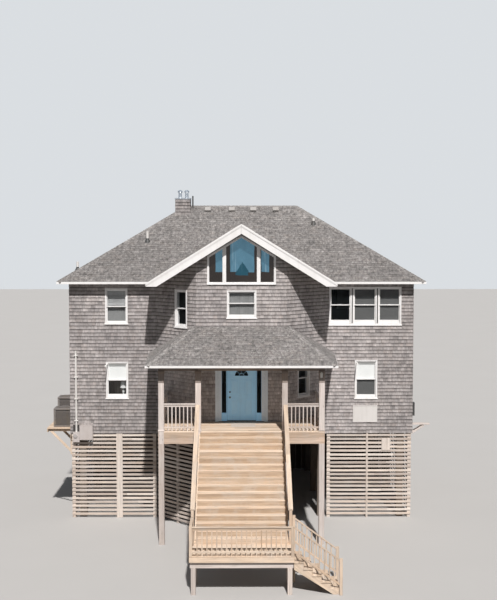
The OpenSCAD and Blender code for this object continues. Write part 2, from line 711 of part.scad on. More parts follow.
// ---------------------------------------------------------------- front door
fz = floor1_z;
module door_frame() color("#d9dcdc") difference() {
  union() {
    box(-unit_half, unit_half, yb - proud, yb, fz, door_top + 100);
    box(-hole_half, hole_half, yb, yb + 130, fz, door_top);
  }
  // door way
  box(-door_half - 7, door_half + 7, yb - 100, yb + 200, fz - 10, fz + 12 + door_h + 7);
  // side lights over their lower panels
  for (s = [-1, 1])
    box(s > 0 ? door_half + 27 : -700, s > 0 ? 700 : -door_half - 27,
      yb - 100, yb + 200, fz + 290, fz + 12 + door_h - 24);
}
dy = yb + 50;
module door_slab_shape() {
  box(-door_half, door_half, dy, dy + door_t, fz + 12, fz + 12 + door_h);
}
fan_z = 5454;
module half_disc(r, y0, y1) {
  intersection() {
    translate([0, y1, fan_z]) rotate([90, 0, 0]) cylinder(h = y1 - y0, r = r, $fn = 64);
    box(-r - 10, r + 10, y0 - 10, y1 + 10, fan_z, fan_z + r + 10);
  }
}
module front_door() color("#6f93a8") difference() {
  door_slab_shape();
  half_disc(240, dy - 20, dy + door_t + 20);
  // raised panel borders
  for (x = [-245, 245]) {
    box(x - 165, x + 165, dy - 1, dy + 8, fz + 190, fz + 800);
    box(x - 165, x + 165, dy - 1, dy + 8, fz + 930, fz + 1480);
  }
}
module door_fanlight() color("#39444a") half_disc(240, dy + 18, dy + 26);
module door_hardware() color("#8b8f92") {
  for (s = [-1, 1]) {
    y = s < 0 ? dy : dy + door_t;
    // knob
    translate([-410, s < 0 ? y - 10 : y, 4694]) rotate([-90, 0, 0]) cylinder(h = 10, r = 34, $fn = 32);
    translate([-410, s < 0 ? y - 45 : y + 10, 4694]) rotate([-90, 0, 0]) cylinder(h = 35, r = 11, $fn = 32);
    translate([-410, s < 0 ? y - 60 : y + 45, 4694]) rotate([-90, 0, 0]) cylinder(h = 15, r = 28, $fn = 32);
    // lock
    translate([-410, s < 0 ? y - 18 : y, 4883]) rotate([-90, 0, 0]) cylinder(h = 18, r = 30, $fn = 32);
  }
}

// ---------------------------------------------------------------- fittings
module ac_platform() color("#b39b78") {
  box(-7174, -hw, -3850, -900, 3260, 3300);
  box(-7174, -7129, -3850, -900, 3140, 3260);
  for (y = [-3750, -2400, -1000]) {
    box(-7129, -hw, y - 20, y + 20, 3160, 3260);
    slope_y(y - 20, y + 20, -7040, 3220, -hw, 2440, 90);
    box(-hw - 60, -hw, y - 20, y + 20, 2300, 3160);
  }
}
module ac_units() color("#9a9c9a") {
  for (u = [[-6960, -3650, 3985], [-7140, -1750, 4110]]) {
    box(u[0], u[0] + 640, u[1], u[1] + 640, 3300, u[2]);
    translate([u[0] + 320, u[1] + 320, u[2]]) cylinder(h = 40, r = 270, $fn = 48);
  }
}
module electric_box() color("#b9b8b4") {
  box(-5930, -5442, yf - 150, yf, 2910, 3450);
  box(-6170, -5930, yf - 110, yf, 2830, 3200);
  translate([-6080, yf - 110, 3060]) rotate([90, 0, 0]) cylinder(h = 60, r = 75, $fn = 48);
  translate([-6050, yf - 50, 3200]) cylinder(h = 2990, r = 34, $fn = 32);
}
module side_ledge() color("#b39b78") {
  box(hw, hw + 760, -3420, -3140, 3325, 3363);
  for (y = [-3370, -3190]) {
    box(hw, hw + 40, y - 20, y + 20, 2960, 3325);
    slope_y(y - 20, y + 20, hw + 30, 3000, hw + 560, 3355, 70);
  }
}
// Small closed box on the right side wall
module side_box() color("#3d3f42") box(hw, hw + 105, -3960, -3780, 3757, 4250);
module sign_board() color("#eeece8") box(4087, 4980, yf - 30, yf, 3549, 4161);

foundation_piles();
floor_beams();
first_floor();
second_floor();
front_wall();
bay_facets();
bay_walls_beside_door();
bay_gable_wall();
side_walls();
back_wall();
main_roof();
gable_roof();
rake_boards();
eave_fascia();
porch_roof_front();
porch_roof_sides();
porch_beam();
porch_floor();
porch_posts();
porch_rails();
upper_stringers();
upper_treads();
upper_stair_rails();
landing_deck();
landing_posts();
landing_rail();
lower_stringers();
lower_treads();
lower_stair_rails();
chimney();
chimney_cap();
roof_vents();
vent_pipes();
skirt_front();
skirt_bay();
skirt_sides();
skirt_back();
window_frames();
gable_window_frame();
window_glass();
door_frame();
front_door();
door_fanlight();
door_hardware();
ac_platform();
ac_units();
electric_box();
side_ledge();
side_box();
sign_board();
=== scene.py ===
import math
import random

import bpy
import numpy as np
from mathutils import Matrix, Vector


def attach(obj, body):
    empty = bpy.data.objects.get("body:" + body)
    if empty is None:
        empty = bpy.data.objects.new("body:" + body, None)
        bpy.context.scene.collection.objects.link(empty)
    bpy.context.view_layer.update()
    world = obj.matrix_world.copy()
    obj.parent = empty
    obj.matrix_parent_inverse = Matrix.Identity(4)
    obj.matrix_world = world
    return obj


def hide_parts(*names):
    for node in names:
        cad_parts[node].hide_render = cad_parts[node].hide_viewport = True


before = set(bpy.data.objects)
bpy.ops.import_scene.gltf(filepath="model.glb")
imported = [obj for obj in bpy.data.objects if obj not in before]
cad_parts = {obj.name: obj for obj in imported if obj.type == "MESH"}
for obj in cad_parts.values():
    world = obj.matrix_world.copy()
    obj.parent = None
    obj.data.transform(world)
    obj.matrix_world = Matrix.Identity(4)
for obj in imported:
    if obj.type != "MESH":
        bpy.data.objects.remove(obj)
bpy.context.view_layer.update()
rnd = random.Random(7)

# ------------------------------------------------------------------ node helpers


def nd(nt, kind, ins=None, **props):
    n = nt.nodes.new(kind)
    for k, v in props.items():
        setattr(n, k, v)
    for k, v in (ins or {}).items():
        s = n.inputs[k]
        if isinstance(v, bpy.types.NodeSocket):
            nt.links.new(v, s)
        else:
            s.default_value = v
    return n


def ma(nt, op, a, b=0.0, c=0.0, clamp=False):
    n = nd(nt, "ShaderNodeMath", {0: a, 1: b, 2: c}, operation=op)
    n.use_clamp = clamp
    return n.outputs[0]


def mixc(nt, f, a, b, blend="MIX"):
    n = nd(nt, "ShaderNodeMix", {0: f, 6: a, 7: b}, data_type="RGBA", blend_type=blend)
    return n.outputs[2]


def ramp(nt, fac, stops, interp="LINEAR"):
    n = nd(nt, "ShaderNodeValToRGB", {"Fac": fac})
    e = n.color_ramp.elements
    n.color_ramp.interpolation = interp
    while len(e) < len(stops):
        e.new(0.5)
    for i, (p, c) in enumerate(stops):
        e[i].position = p
        e[i].color = (c[0], c[1], c[2], 1) if len(c) == 3 else c
    return n.outputs["Color"]


def noise(nt, vec, scale=5.0, detail=3.0, rough=0.5, dist=0.0):
    return nd(nt, "ShaderNodeTexNoise", {"Vector": vec, "Scale": scale, "Detail": detail,
                                         "Roughness": rough, "Distortion": dist}).outputs["Fac"]


def scaled(nt, vec, s, loc=(0, 0, 0)):
    return nd(nt, "ShaderNodeMapping", {"Vector": vec, "Scale": s, "Location": loc}).outputs["Vector"]


def gray(nt, fac, lo, hi):
    """Remaps fac 0..1 to a grey between lo and hi as a number."""
    return ma(nt, "MULTIPLY_ADD", fac, hi - lo, lo)


def new_mat(name):
    m = bpy.data.materials.new(name)
    m.use_nodes = True
    nt = m.node_tree
    nt.nodes.clear()
    out = nd(nt, "ShaderNodeOutputMaterial")
    b = nd(nt, "ShaderNodeBsdfPrincipled")
    nt.links.new(b.outputs[0], out.inputs[0])
    return m, nt, b, out


# the rnd attribute holds a random tone, a warm share and w, the course position that shingle and roof materials turn
# into painted shade
def sep_attr(nt):
    a = nd(nt, "ShaderNodeAttribute", attribute_name="rnd")
    s = nd(nt, "ShaderNodeSeparateColor", {0: a.outputs["Color"]})
    return s.outputs[0], s.outputs[1], s.outputs[2]


def lin(r, g, b):
    f = lambda c: (c / 255 / 12.92) if c <= 10 else ((c / 255 + 0.055) / 1.055) ** 2.4
    return (f(r), f(g), f(b))


def scl(c, k):
    return tuple(x * k for x in c)


def wood(name, light, dark, warm, rough=0.75, grain=1.0, knots=True, bump=0.35, base_uv=True):
    """Sawn boards: grain along u of the UV map, tone per board from the rnd attribute."""
    m, nt, b, out = new_mat(name)
    tc = nd(nt, "ShaderNodeTexCoord")
    vec = tc.outputs["UV"] if base_uv else tc.outputs["Object"]
    r, g, w = sep_attr(nt)
    # long fibres, broad growth bands and fine pores
    fib = noise(nt, scaled(nt, vec, (2.2, 95 * grain, 95 * grain)), 1.0, 5, 0.62, 0.15)
    band = noise(nt, scaled(nt, vec, (0.9, 16 * grain, 16 * grain)), 1.0, 3, 0.5, 0.9)
    pore = noise(nt, scaled(nt, vec, (14, 420, 420)), 1.0, 2, 0.5)
    c0 = mixc(nt, r, (*dark, 1), (*light, 1))
    c1 = mixc(nt, ma(nt, "MULTIPLY", g, 0.55), c0, (*warm, 1))
    c2 = mixc(nt, ramp(nt, fib, [(0.30, (1, 1, 1)), (0.50, (0, 0, 0))]), c1,
              mixc(nt, 0.5, c1, (*scl(dark, 0.55), 1)), "MIX")
    c3 = mixc(nt, 1.0, c2, ramp(nt, band, [(0.3, (0.80, 0.79, 0.78)), (0.7, (1.1, 1.1, 1.1))]), "MULTIPLY")
    if knots:
        kv = nd(nt, "ShaderNodeTexVoronoi", {"Vector": scaled(nt, vec, (1.3, 7, 7)), "Scale": 1.0, "Randomness": 1.0})
        c3 = mixc(nt, ramp(nt, kv.outputs["Distance"], [(0.03, (0.75,) * 3), (0.085, (0,) * 3)]), c3,
                  (*scl(dark, 0.38), 1))
    # greyed weather stains, larger than a board
    st = noise(nt, scaled(nt, tc.outputs["Object"], (1, 1, 1)), 2.1, 4, 0.6)
    gr = sum(light) / 3 * 0.82
    c4 = mixc(nt, ramp(nt, st, [(0.46, (0,) * 3), (0.76, (0.4,) * 3)]), c3, (gr, gr * 0.98, gr * 0.95, 1))
    nt.links.new(c4, b.inputs["Base Color"])
    nt.links.new(gray(nt, fib, rough - 0.1, min(1, rough + 0.12)), b.inputs["Roughness"])
    b.inputs["Specular IOR Level"].default_value = 0.25
    hh = ma(nt, "ADD", ma(nt, "MULTIPLY", fib, 0.7), ma(nt, "MULTIPLY", pore, 0.3))
    bp = nd(nt, "ShaderNodeBump", {"Height": hh, "Strength": bump, "Distance": 0.003})
    nt.links.new(bp.outputs[0], b.inputs["Normal"])
    return m


def shingle_mat(name, light, dark, warm):
    """Cedar shingles: upright grain, tone per shingle, stains that run down, painted shade under each next course,
    painted light under the porch.
    """
    m, nt, b, out = new_mat(name)
    tc = nd(nt, "ShaderNodeTexCoord")
    uv = tc.outputs["UV"]
    r, g, w = sep_attr(nt)
    fib = noise(nt, scaled(nt, uv, (120, 2.4, 1)), 1.0, 4, 0.6, 0.1)
    crk = noise(nt, scaled(nt, uv, (46, 0.9, 1)), 1.0, 2, 0.5, 0.05)
    blot = noise(nt, scaled(nt, uv, (13, 7, 1)), 1.0, 3, 0.6)
    big = noise(nt, scaled(nt, tc.outputs["Object"], (0.55, 0.55, 0.38)), 1.0, 4, 0.62)
    run = noise(nt, scaled(nt, tc.outputs["Object"], (3.2, 3.2, 0.35)), 1.0, 3, 0.6)
    c = mixc(nt, r, (*dark, 1), (*light, 1))
    c = mixc(nt, ma(nt, "MULTIPLY", g, 0.7), c, (*warm, 1))
    c = mixc(nt, 1.0, c, ramp(nt, fib, [(0.28, (0.72,) * 3), (0.62, (1.12,) * 3)]), "MULTIPLY")
    c = mixc(nt, 1.0, c, ramp(nt, crk, [(0.31, (0.55,) * 3), (0.37, (1.0,) * 3)]), "MULTIPLY")
    c = mixc(nt, 1.0, c, ramp(nt, blot, [(0.3, (0.76, 0.75, 0.745)), (0.7, (1.20, 1.20, 1.21))]), "MULTIPLY")
    c = mixc(nt, 1.0, c, ramp(nt, big, [(0.32, (0.80, 0.79, 0.79)), (0.68, (1.14, 1.12, 1.10))]), "MULTIPLY")
    c = mixc(nt, 1.0, c, ramp(nt, run, [(0.3, (0.82,) * 3), (0.6, (1.05,) * 3)]), "MULTIPLY")
    # broad weathering: paler right of the porch, duller at the far right and low on the left
    xyz = nd(nt, "ShaderNodeSeparateXYZ", {0: tc.outputs["Object"]})
    gx = ma(nt, "MULTIPLY_ADD", ma(nt, "ADD", xyz.outputs[0], ma(nt, "MULTIPLY", big, 1.2)), 1 / 14, 0.457)
    c = mixc(nt, 1.0, c, ramp(nt, gx, [(0.62, (1.0,) * 3), (0.755, (1.17,) * 3), (0.80, (1.08,) * 3), (0.87, (0.92,) * 3), (0.95, (0.88,) * 3)]), "MULTIPLY")
    gz = ma(nt, "MULTIPLY", ma(nt, "ADD", xyz.outputs[2], ma(nt, "MULTIPLY", ma(nt, "SUBTRACT", big, 0.5), 1.2)), 1 / 14)
    lowl = mixc(nt, ramp(nt, gx, [(0.45, (0,) * 3), (0.5, (1,) * 3)]), ramp(nt, gz, [(0.29, (0.80,) * 3), (0.39, (1.0,) * 3)]), (1, 1, 1, 1))
    c = mixc(nt, 1.0, c, lowl, "MULTIPLY")
    # w is 1 at the butt, 0 under the next course
    # painted light under the porch: shingles there are a third lighter and their painted butt shade is weaker
    porch_painted_light = ma(nt, "MULTIPLY", ma(nt, "LESS_THAN", xyz.outputs[1], -4.15), ma(nt, "LESS_THAN", xyz.outputs[2], 6.05))
    # the course ramp is painted shade: darkest where w is 0 under the next course, with a lighter band just above the
    # butt
    course = ramp(nt, w, [(0.0, (0.30,) * 3), (0.14, (0.35,) * 3), (0.28, (0.60,) * 3), (0.39, (0.95,) * 3), (0.55, (1.10,) * 3), (0.92, (1.22,) * 3), (1.0, (1.06,) * 3)])
    c = mixc(nt, 1.0, c, mixc(nt, ma(nt, "MULTIPLY", porch_painted_light, 0.6), course, (1, 1, 1, 1)), "MULTIPLY")
    c = mixc(nt, 1.0, c, mixc(nt, porch_painted_light, (1, 1, 1, 1), (1.36, 1.36, 1.36, 1)), "MULTIPLY")
    nt.links.new(c, b.inputs["Base Color"])
    nt.links.new(gray(nt, fib, 0.78, 0.95), b.inputs["Roughness"])
    b.inputs["Specular IOR Level"].default_value = 0.2
    hh = ma(nt, "ADD", ma(nt, "MULTIPLY", fib, 0.5), ma(nt, "MULTIPLY", ramp(nt, crk, [(0.31, (0,) * 3), (0.37, (1,) * 3)]), 0.8))
    bp = nd(nt, "ShaderNodeBump", {"Height": hh, "Strength": 0.4, "Distance": 0.004})
    nt.links.new(bp.outputs[0], b.inputs["Normal"])
    return m


def wall_mat(name, outside, inside):
    """The wall behind the shingles: dark felt outside, plain painted plaster on faces that look inwards."""
    m, nt, b, out = new_mat(name)
    ge = nd(nt, "ShaderNodeNewGeometry")
    flat = nd(nt, "ShaderNodeVectorMath", {0: ge.outputs["Position"], 1: (1, 1, 0)}, operation="MULTIPLY")
    dp = nd(nt, "ShaderNodeVectorMath", {0: flat.outputs[0], 1: ge.outputs["True Normal"]}, operation="DOT_PRODUCT")
    inner = ma(nt, "LESS_THAN", dp.outputs["Value"], -0.02)
    n1 = noise(nt, ge.outputs["Position"], 34, 4, 0.6)
    n2 = noise(nt, ge.outputs["Position"], 1.4, 3, 0.5)
    co = mixc(nt, n1, (*scl(outside, 0.7), 1), (*scl(outside, 1.3), 1))
    ci = mixc(nt, n2, (*scl(inside, 0.9), 1), (*scl(inside, 1.05), 1))
    nt.links.new(mixc(nt, inner, co, ci), b.inputs["Base Color"])
    nt.links.new(gray(nt, n1, 0.8, 0.95), b.inputs["Roughness"])
    bp = nd(nt, "ShaderNodeBump", {"Height": n1, "Strength": 0.25, "Distance": 0.003})
    nt.links.new(bp.outputs[0], b.inputs["Normal"])
    return m


def roof_mat(name, light, dark, warm):
    """Mineral-surfaced roof tabs: granule speckle, tone per tab, streaks down the slope, painted shade at the butts."""
    m, nt, b, out = new_mat(name)
    tc = nd(nt, "ShaderNodeTexCoord")
    uv, ob = tc.outputs["UV"], tc.outputs["Object"]
    r, g, w = sep_attr(nt)
    gran = nd(nt, "ShaderNodeTexVoronoi", {"Vector": ob, "Scale": 260.0})
    sp = noise(nt, ob, 48, 3, 0.75)
    mid = noise(nt, scaled(nt, uv, (10, 6, 1)), 1.0, 3, 0.75)
    strk = noise(nt, scaled(nt, uv, (5.5, 0.5, 1)), 1.0, 4, 0.65)
    big = noise(nt, ob, 0.5, 3, 0.55)
    c = mixc(nt, r, (*dark, 1), (*light, 1))
    c = mixc(nt, ma(nt, "MULTIPLY", g, 0.5), c, (*warm, 1))
    gs = nd(nt, "ShaderNodeSeparateColor", {0: gran.outputs["Color"]}).outputs[0]
    c = mixc(nt, 1.0, c, ramp(nt, gs, [(0.0, (0.62,) * 3), (0.5, (1.0,) * 3), (1.0, (1.35,) * 3)]), "MULTIPLY")
    c = mixc(nt, 1.0, c, ramp(nt, sp, [(0.34, (0.62,) * 3), (0.62, (1.22,) * 3)]), "MULTIPLY")
    c = mixc(nt, 1.0, c, ramp(nt, mid, [(0.32, (0.50,) * 3), (0.68, (1.46,) * 3)]), "MULTIPLY")
    c = mixc(nt, 1.0, c, ramp(nt, strk, [(0.34, (0.86,) * 3), (0.62, (1.08,) * 3)]), "MULTIPLY")
    c = mixc(nt, 1.0, c, ramp(nt, big, [(0.35, (0.92, 0.91, 0.90)), (0.65, (1.08, 1.07, 1.06))]), "MULTIPLY")
    # w ramp is painted shade: darker at each butt edge and at the top of each piece under the next row
    c = mixc(nt, 1.0, c, ramp(nt, w, [(0.0, (0.8,) * 3), (0.15, (1.0,) * 3), (0.9, (1.03,) * 3), (1.0, (0.8,) * 3)]), "MULTIPLY")
    nt.links.new(c, b.inputs["Base Color"])
    nt.links.new(gray(nt, sp, 0.82, 0.97), b.inputs["Roughness"])
    b.inputs["Specular IOR Level"].default_value = 0.2
    bp = nd(nt, "ShaderNodeBump", {"Height": ma(nt, "ADD", gs, sp), "Strength": 0.35, "Distance": 0.002})
    nt.links.new(bp.outputs[0], b.inputs["Normal"])
    return m


def paint(name, col, rough=0.42, dirt=(0.5, 0.46, 0.40), dirt_amt=0.25, grain=0.12, use_uv=True, streak=True, glow=None):
    """Brushed paint on wood or sheet: faint brush lines, dirt in broad patches and down-runs."""
    m, nt, b, out = new_mat(name)
    tc = nd(nt, "ShaderNodeTexCoord")
    vec, ob = (tc.outputs["UV"] if use_uv else tc.outputs["Object"]), tc.outputs["Object"]
    br = noise(nt, scaled(nt, vec, (6, 170, 170)), 1.0, 3, 0.55)
    pa = noise(nt, ob, 3.1, 5, 0.62)
    fine = noise(nt, ob, 42, 3, 0.6)
    dr = noise(nt, scaled(nt, ob, (9, 9, 0.7)), 1.0, 3, 0.6)
    c = mixc(nt, br, (*scl(col, 0.95), 1), (*scl(col, 1.03), 1))
    f = ma(nt, "MULTIPLY", ramp(nt, pa, [(0.45, (0,) * 3), (0.78, (1,) * 3)]), dirt_amt)
    c = mixc(nt, f, c, (*dirt, 1))
    if streak:
        f2 = ma(nt, "MULTIPLY", ramp(nt, dr, [(0.52, (0,) * 3), (0.75, (1,) * 3)]), dirt_amt * 0.8)
        c = mixc(nt, f2, c, (*scl(dirt, 0.8), 1))
    nt.links.new(c, b.inputs["Base Color"])
    nt.links.new(gray(nt, fine, rough - 0.08, rough + 0.14), b.inputs["Roughness"])
    bp = nd(nt, "ShaderNodeBump", {"Height": ma(nt, "ADD", br, ma(nt, "MULTIPLY", fine, 0.4)), "Strength": grain, "Distance": 0.002})
    nt.links.new(bp.outputs[0], b.inputs["Normal"])
    # glow paints light: a weak emission on a surface that is no lamp
    if glow:
        b.inputs["Emission Color"].default_value = (*glow[:3], 1)
        b.inputs["Emission Strength"].default_value = glow[3]
    return m


def metal(name, col, rough=0.35, metallic=1.0, spangle=0.0, rust=0.0):
    m, nt, b, out = new_mat(name)
    tc = nd(nt, "ShaderNodeTexCoord")
    ob = tc.outputs["Object"]
    n1 = noise(nt, ob, 26, 4, 0.6)
    n2 = noise(nt, scaled(nt, ob, (6, 6, 1.2)), 1.0, 4, 0.6)
    c = mixc(nt, n1, (*scl(col, 0.86), 1), (*scl(col, 1.08), 1))
    if spangle:
        v = nd(nt, "ShaderNodeTexVoronoi", {"Vector": ob, "Scale": 70.0})
        s = nd(nt, "ShaderNodeSeparateColor", {0: v.outputs["Color"]}).outputs[0]
        c = mixc(nt, spangle, c, ramp(nt, s, [(0, scl(col, 0.7)), (1, scl(col, 1.15))]))
    if rust:
        f = ma(nt, "MULTIPLY", ramp(nt, n2, [(0.5, (0,) * 3), (0.72, (1,) * 3)]), rust)
        c = mixc(nt, f, c, (0.20, 0.10, 0.055, 1))
    nt.links.new(c, b.inputs["Base Color"])
    b.inputs["Metallic"].default_value = metallic
    nt.links.new(gray(nt, n1, max(0.05, rough - 0.1), rough + 0.15), b.inputs["Roughness"])
    bp = nd(nt, "ShaderNodeBump", {"Height": n1, "Strength": 0.08, "Distance": 0.002})
    nt.links.new(bp.outputs[0], b.inputs["Normal"])
    return m


def cloth(name, col, pleat=False, glow=0.0):
    """Blind or curtain cloth: fine weave, soft folds in tone."""
    m, nt, b, out = new_mat(name)
    tc = nd(nt, "ShaderNodeTexCoord")
    uv = tc.outputs["UV"]
    wx = nd(nt, "ShaderNodeTexWave", {"Vector": scaled(nt, uv, (1, 1, 1)), "Scale": 320.0, "Distortion": 0.4}, bands_direction="X")
    wy = nd(nt, "ShaderNodeTexWave", {"Vector": scaled(nt, uv, (1, 1, 1)), "Scale": 320.0, "Distortion": 0.4}, bands_direction="Y")
    wv = ma(nt, "MULTIPLY", wx.outputs["Fac"], wy.outputs["Fac"])
    so = noise(nt, scaled(nt, uv, (16 if pleat else 3, 1.2, 1)), 1.0, 3, 0.5)
    c = mixc(nt, so, (*scl(col, 0.72 if pleat else 0.9), 1), (*scl(col, 1.06), 1))
    c = mixc(nt, ma(nt, "MULTIPLY", wv, 0.12), c, (*scl(col, 0.7), 1))
    nt.links.new(c, b.inputs["Base Color"])
    nt.links.new(gray(nt, so, 0.8, 0.95), b.inputs["Roughness"])
    b.inputs["Sheen Weight"].default_value = 0.15
    # glow paints light: a weak emission on a surface that is no lamp
    if glow:
        b.inputs["Emission Color"].default_value = (1.0, 0.97, 0.93, 1)
        b.inputs["Emission Strength"].default_value = glow
    bp = nd(nt, "ShaderNodeBump", {"Height": wv, "Strength": 0.12, "Distance": 0.001})
    nt.links.new(bp.outputs[0], b.inputs["Normal"])
    return m


def glaze(nt):
    """Share of light a pane sends back, the same from either of its faces."""
    lw = nd(nt, "ShaderNodeLayerWeight", {"Blend": 0.5})
    return ma(nt, "ADD", ma(nt, "MULTIPLY", ma(nt, "POWER", lw.outputs["Facing"], 5.0), 0.95), 0.045)


def glass_mat(name, tint, trans=0.72, rough=0.03):
    """Thin window pane: see-through from the front, glossier at a low angle, faint smears."""
    m, nt, b, out = new_mat(name)
    nt.nodes.remove(b)
    tc = nd(nt, "ShaderNodeTexCoord")
    sm = noise(nt, tc.outputs["Object"], 2.3, 4, 0.6)
    g = nd(nt, "ShaderNodeBsdfPrincipled")
    g.inputs["IOR"].default_value = 1.5
    g.inputs["Specular IOR Level"].default_value = 0.8
    nt.links.new(mixc(nt, sm, (*scl(tint, 0.75), 1), (*scl(tint, 1.2), 1)), g.inputs["Base Color"])
    nt.links.new(gray(nt, sm, rough, rough + 0.05), g.inputs["Roughness"])
    t = nd(nt, "ShaderNodeBsdfTransparent", {"Color": (0.97, 0.98, 0.985, 1)})
    f = ma(nt, "ADD", glaze(nt), gray(nt, sm, 1 - trans - 0.01, 1 - trans + 0.01), clamp=True)
    mx = nd(nt, "ShaderNodeMixShader", {0: f, 1: t.outputs[0], 2: g.outputs[0]})
    nt.links.new(mx.outputs[0], out.inputs[0])
    return m


# ------------------------------------------------------------------ materials
M = {}
M["shingle"] = shingle_mat("cedar_shingles", (0.445, 0.420, 0.418), (0.25, 0.238, 0.238), (0.41, 0.362, 0.342))
M["wall"] = wall_mat("wall_behind", (0.055, 0.05, 0.048), (0.30, 0.29, 0.27))
M["roof"] = roof_mat("roof_tabs", (0.286, 0.274, 0.270), (0.140, 0.134, 0.133), (0.25, 0.222, 0.205))
# lighter copy of the roof colour for the porch side slopes: painted light
M["roof_side"] = roof_mat("roof_tabs_side_painted_light", (0.345, 0.331, 0.326), (0.170, 0.163, 0.161), (0.30, 0.268, 0.248))
# caps take a lighter copy of the roof colour: painted light against the shade along the hips and ridge
M["roof_cap"] = roof_mat("roof_caps_painted_light", (0.31, 0.298, 0.294), (0.20, 0.193, 0.19), (0.27, 0.245, 0.23))
M["trim"] = paint("white_trim", (0.82, 0.81, 0.81), 0.42, (0.50, 0.46, 0.40), 0.22)
M["sash"] = paint("white_sash", (0.80, 0.795, 0.79), 0.38, (0.45, 0.43, 0.40), 0.2)
M["sign"] = paint("white_board", (0.66, 0.635, 0.62), 0.5, (0.52, 0.5, 0.46), 0.3)
# the door casing and the blue door carry a weak blue glow: painted light and painted sky reflection in the porch shade
M["casing"] = paint("door_casing", (0.76, 0.80, 0.84), 0.42, (0.45, 0.46, 0.46), 0.2, glow=(0.45, 0.80, 1.0, 0.035))
M["door"] = paint("door_blue", (0.44, 0.66, 0.76), 0.32, (0.32, 0.42, 0.46), 0.2, glow=(0.28, 0.64, 1.0, 0.13))
M["deck"] = wood("deck_boards", (0.80, 0.65, 0.515), (0.44, 0.33, 0.235), (0.72, 0.52, 0.37))
M["rail"] = wood("rail_wood", (0.70, 0.57, 0.455), (0.46, 0.355, 0.27), (0.64, 0.46, 0.32))
M["post"] = wood("post_wood", (0.78, 0.705, 0.67), (0.47, 0.41, 0.38), (0.60, 0.49, 0.41))
# darker copy of the post wood for post heads, beam and rafters: painted shade under the porch roof
M["post_high"] = wood("post_wood_painted_shade", (0.36, 0.31, 0.285), (0.22, 0.185, 0.165), (0.32, 0.25, 0.20))
M["slat"] = wood("slat_wood", (0.79, 0.71, 0.645), (0.49, 0.42, 0.375), (0.64, 0.50, 0.39))
M["pile"] = wood("pile_wood", (0.24, 0.20, 0.165), (0.12, 0.10, 0.085), (0.23, 0.16, 0.11), rough=0.85)
M["floor"] = wood("room_floor", (0.40, 0.29, 0.19), (0.24, 0.16, 0.10), (0.40, 0.25, 0.14), rough=0.5, bump=0.1, base_uv=False)
M["ceil"] = wood("porch_ceiling", (0.36, 0.33, 0.30), (0.22, 0.19, 0.17), (0.34, 0.27, 0.21))
M["glass"] = glass_mat("window_glass", (0.035, 0.045, 0.052), 0.98)
M["glass_blue"] = glass_mat("gable_glass", (0.09, 0.23, 0.34), 0.42)
M["galv"] = metal("galvanised", (0.78, 0.80, 0.82), 0.32, 1.0, 0.5, 0.12)
M["vent"] = paint("vent_metal", (0.40, 0.385, 0.37), 0.5, (0.25, 0.2, 0.16), 0.4, use_uv=False)
M["pipe"] = paint("pipe_white", (0.72, 0.70, 0.68), 0.45, (0.35, 0.31, 0.27), 0.4, use_uv=False)
M["box"] = paint("box_paint", (0.51, 0.465, 0.45), 0.45, (0.40, 0.35, 0.31), 0.35, use_uv=False)
M["ac"] = paint("ac_paint", (0.175, 0.156, 0.147), 0.5, (0.24, 0.19, 0.13), 0.5, use_uv=False)
M["dark"] = paint("dark_metal", (0.05, 0.05, 0.05), 0.5, (0.12, 0.1, 0.08), 0.4, use_uv=False)
M["nickel"] = metal("aged_metal", (0.20, 0.165, 0.13), 0.32, 1.0)
# roller shades glow at 0.22: painted light behind the glass
M["shade"] = cloth("roller_shade", (0.86, 0.85, 0.83), glow=0.22)
M["shade_back"] = cloth("plain_shade", (0.80, 0.79, 0.77))
M["screen"] = cloth("dim_shade", (0.135, 0.132, 0.130))
M["rim"] = wood("rim_wood", (0.64, 0.49, 0.385), (0.43, 0.32, 0.24), (0.50, 0.38, 0.28))
# near-black lining boards: painted shade under the house, besides blocking light
M["lining"] = wood("lining_boards", (0.15, 0.11, 0.09), (0.075, 0.054, 0.044), (0.07, 0.045, 0.03), rough=0.85)
M["curtain"] = cloth("upright_vane", (0.335, 0.33, 0.325))
# blind slats glow at 0.08: painted light behind the glass
M["blind"] = paint("blind_slats", (0.78, 0.775, 0.77), 0.4, (0.5, 0.48, 0.45), 0.15, glow=(1.0, 0.97, 0.95, 0.08))
M["room"] = wood("room_boards", (0.34, 0.30, 0.27), (0.24, 0.205, 0.18), (0.32, 0.24, 0.18))
M["chimney"] = shingle_mat("chimney_shingle", (0.325, 0.308, 0.308), (0.19, 0.18, 0.18), (0.30, 0.265, 0.25))
M["mat"] = cloth("door_mat", (0.58, 0.50, 0.43))
M["lamp"] = paint("lamp_white", (0.80, 0.79, 0.77), 0.3, (0.6, 0.57, 0.5), 0.1, use_uv=False)

# ------------------------------------------------------------------ mesh builder
S2 = math.sqrt(0.5)
IDENT = (Vector((0, 0, 0)), Vector((1, 0, 0)), Vector((0, 1, 0)))
W = {
    "front": (Vector((0, -4.05, 0)), Vector((1, 0, 0)), Vector((0, 1, 0))),
    "bay": (Vector((0, -5.60, 0)), Vector((1, 0, 0)), Vector((0, 1, 0))),
    "back": (Vector((0, 4.05, 0)), Vector((-1, 0, 0)), Vector((0, -1, 0))),
    "left": (Vector((-6.27, 0, 0)), Vector((0, -1, 0)), Vector((1, 0, 0))),
    "right": (Vector((6.27, 0, 0)), Vector((0, 1, 0)), Vector((-1, 0, 0))),
    "fl": (Vector((-1.58, -5.60, 0)), Vector((-S2, S2, 0)), Vector((S2, S2, 0))),
    "fr": (Vector((1.58, -5.60, 0)), Vector((S2, S2, 0)), Vector((-S2, S2, 0))),
}


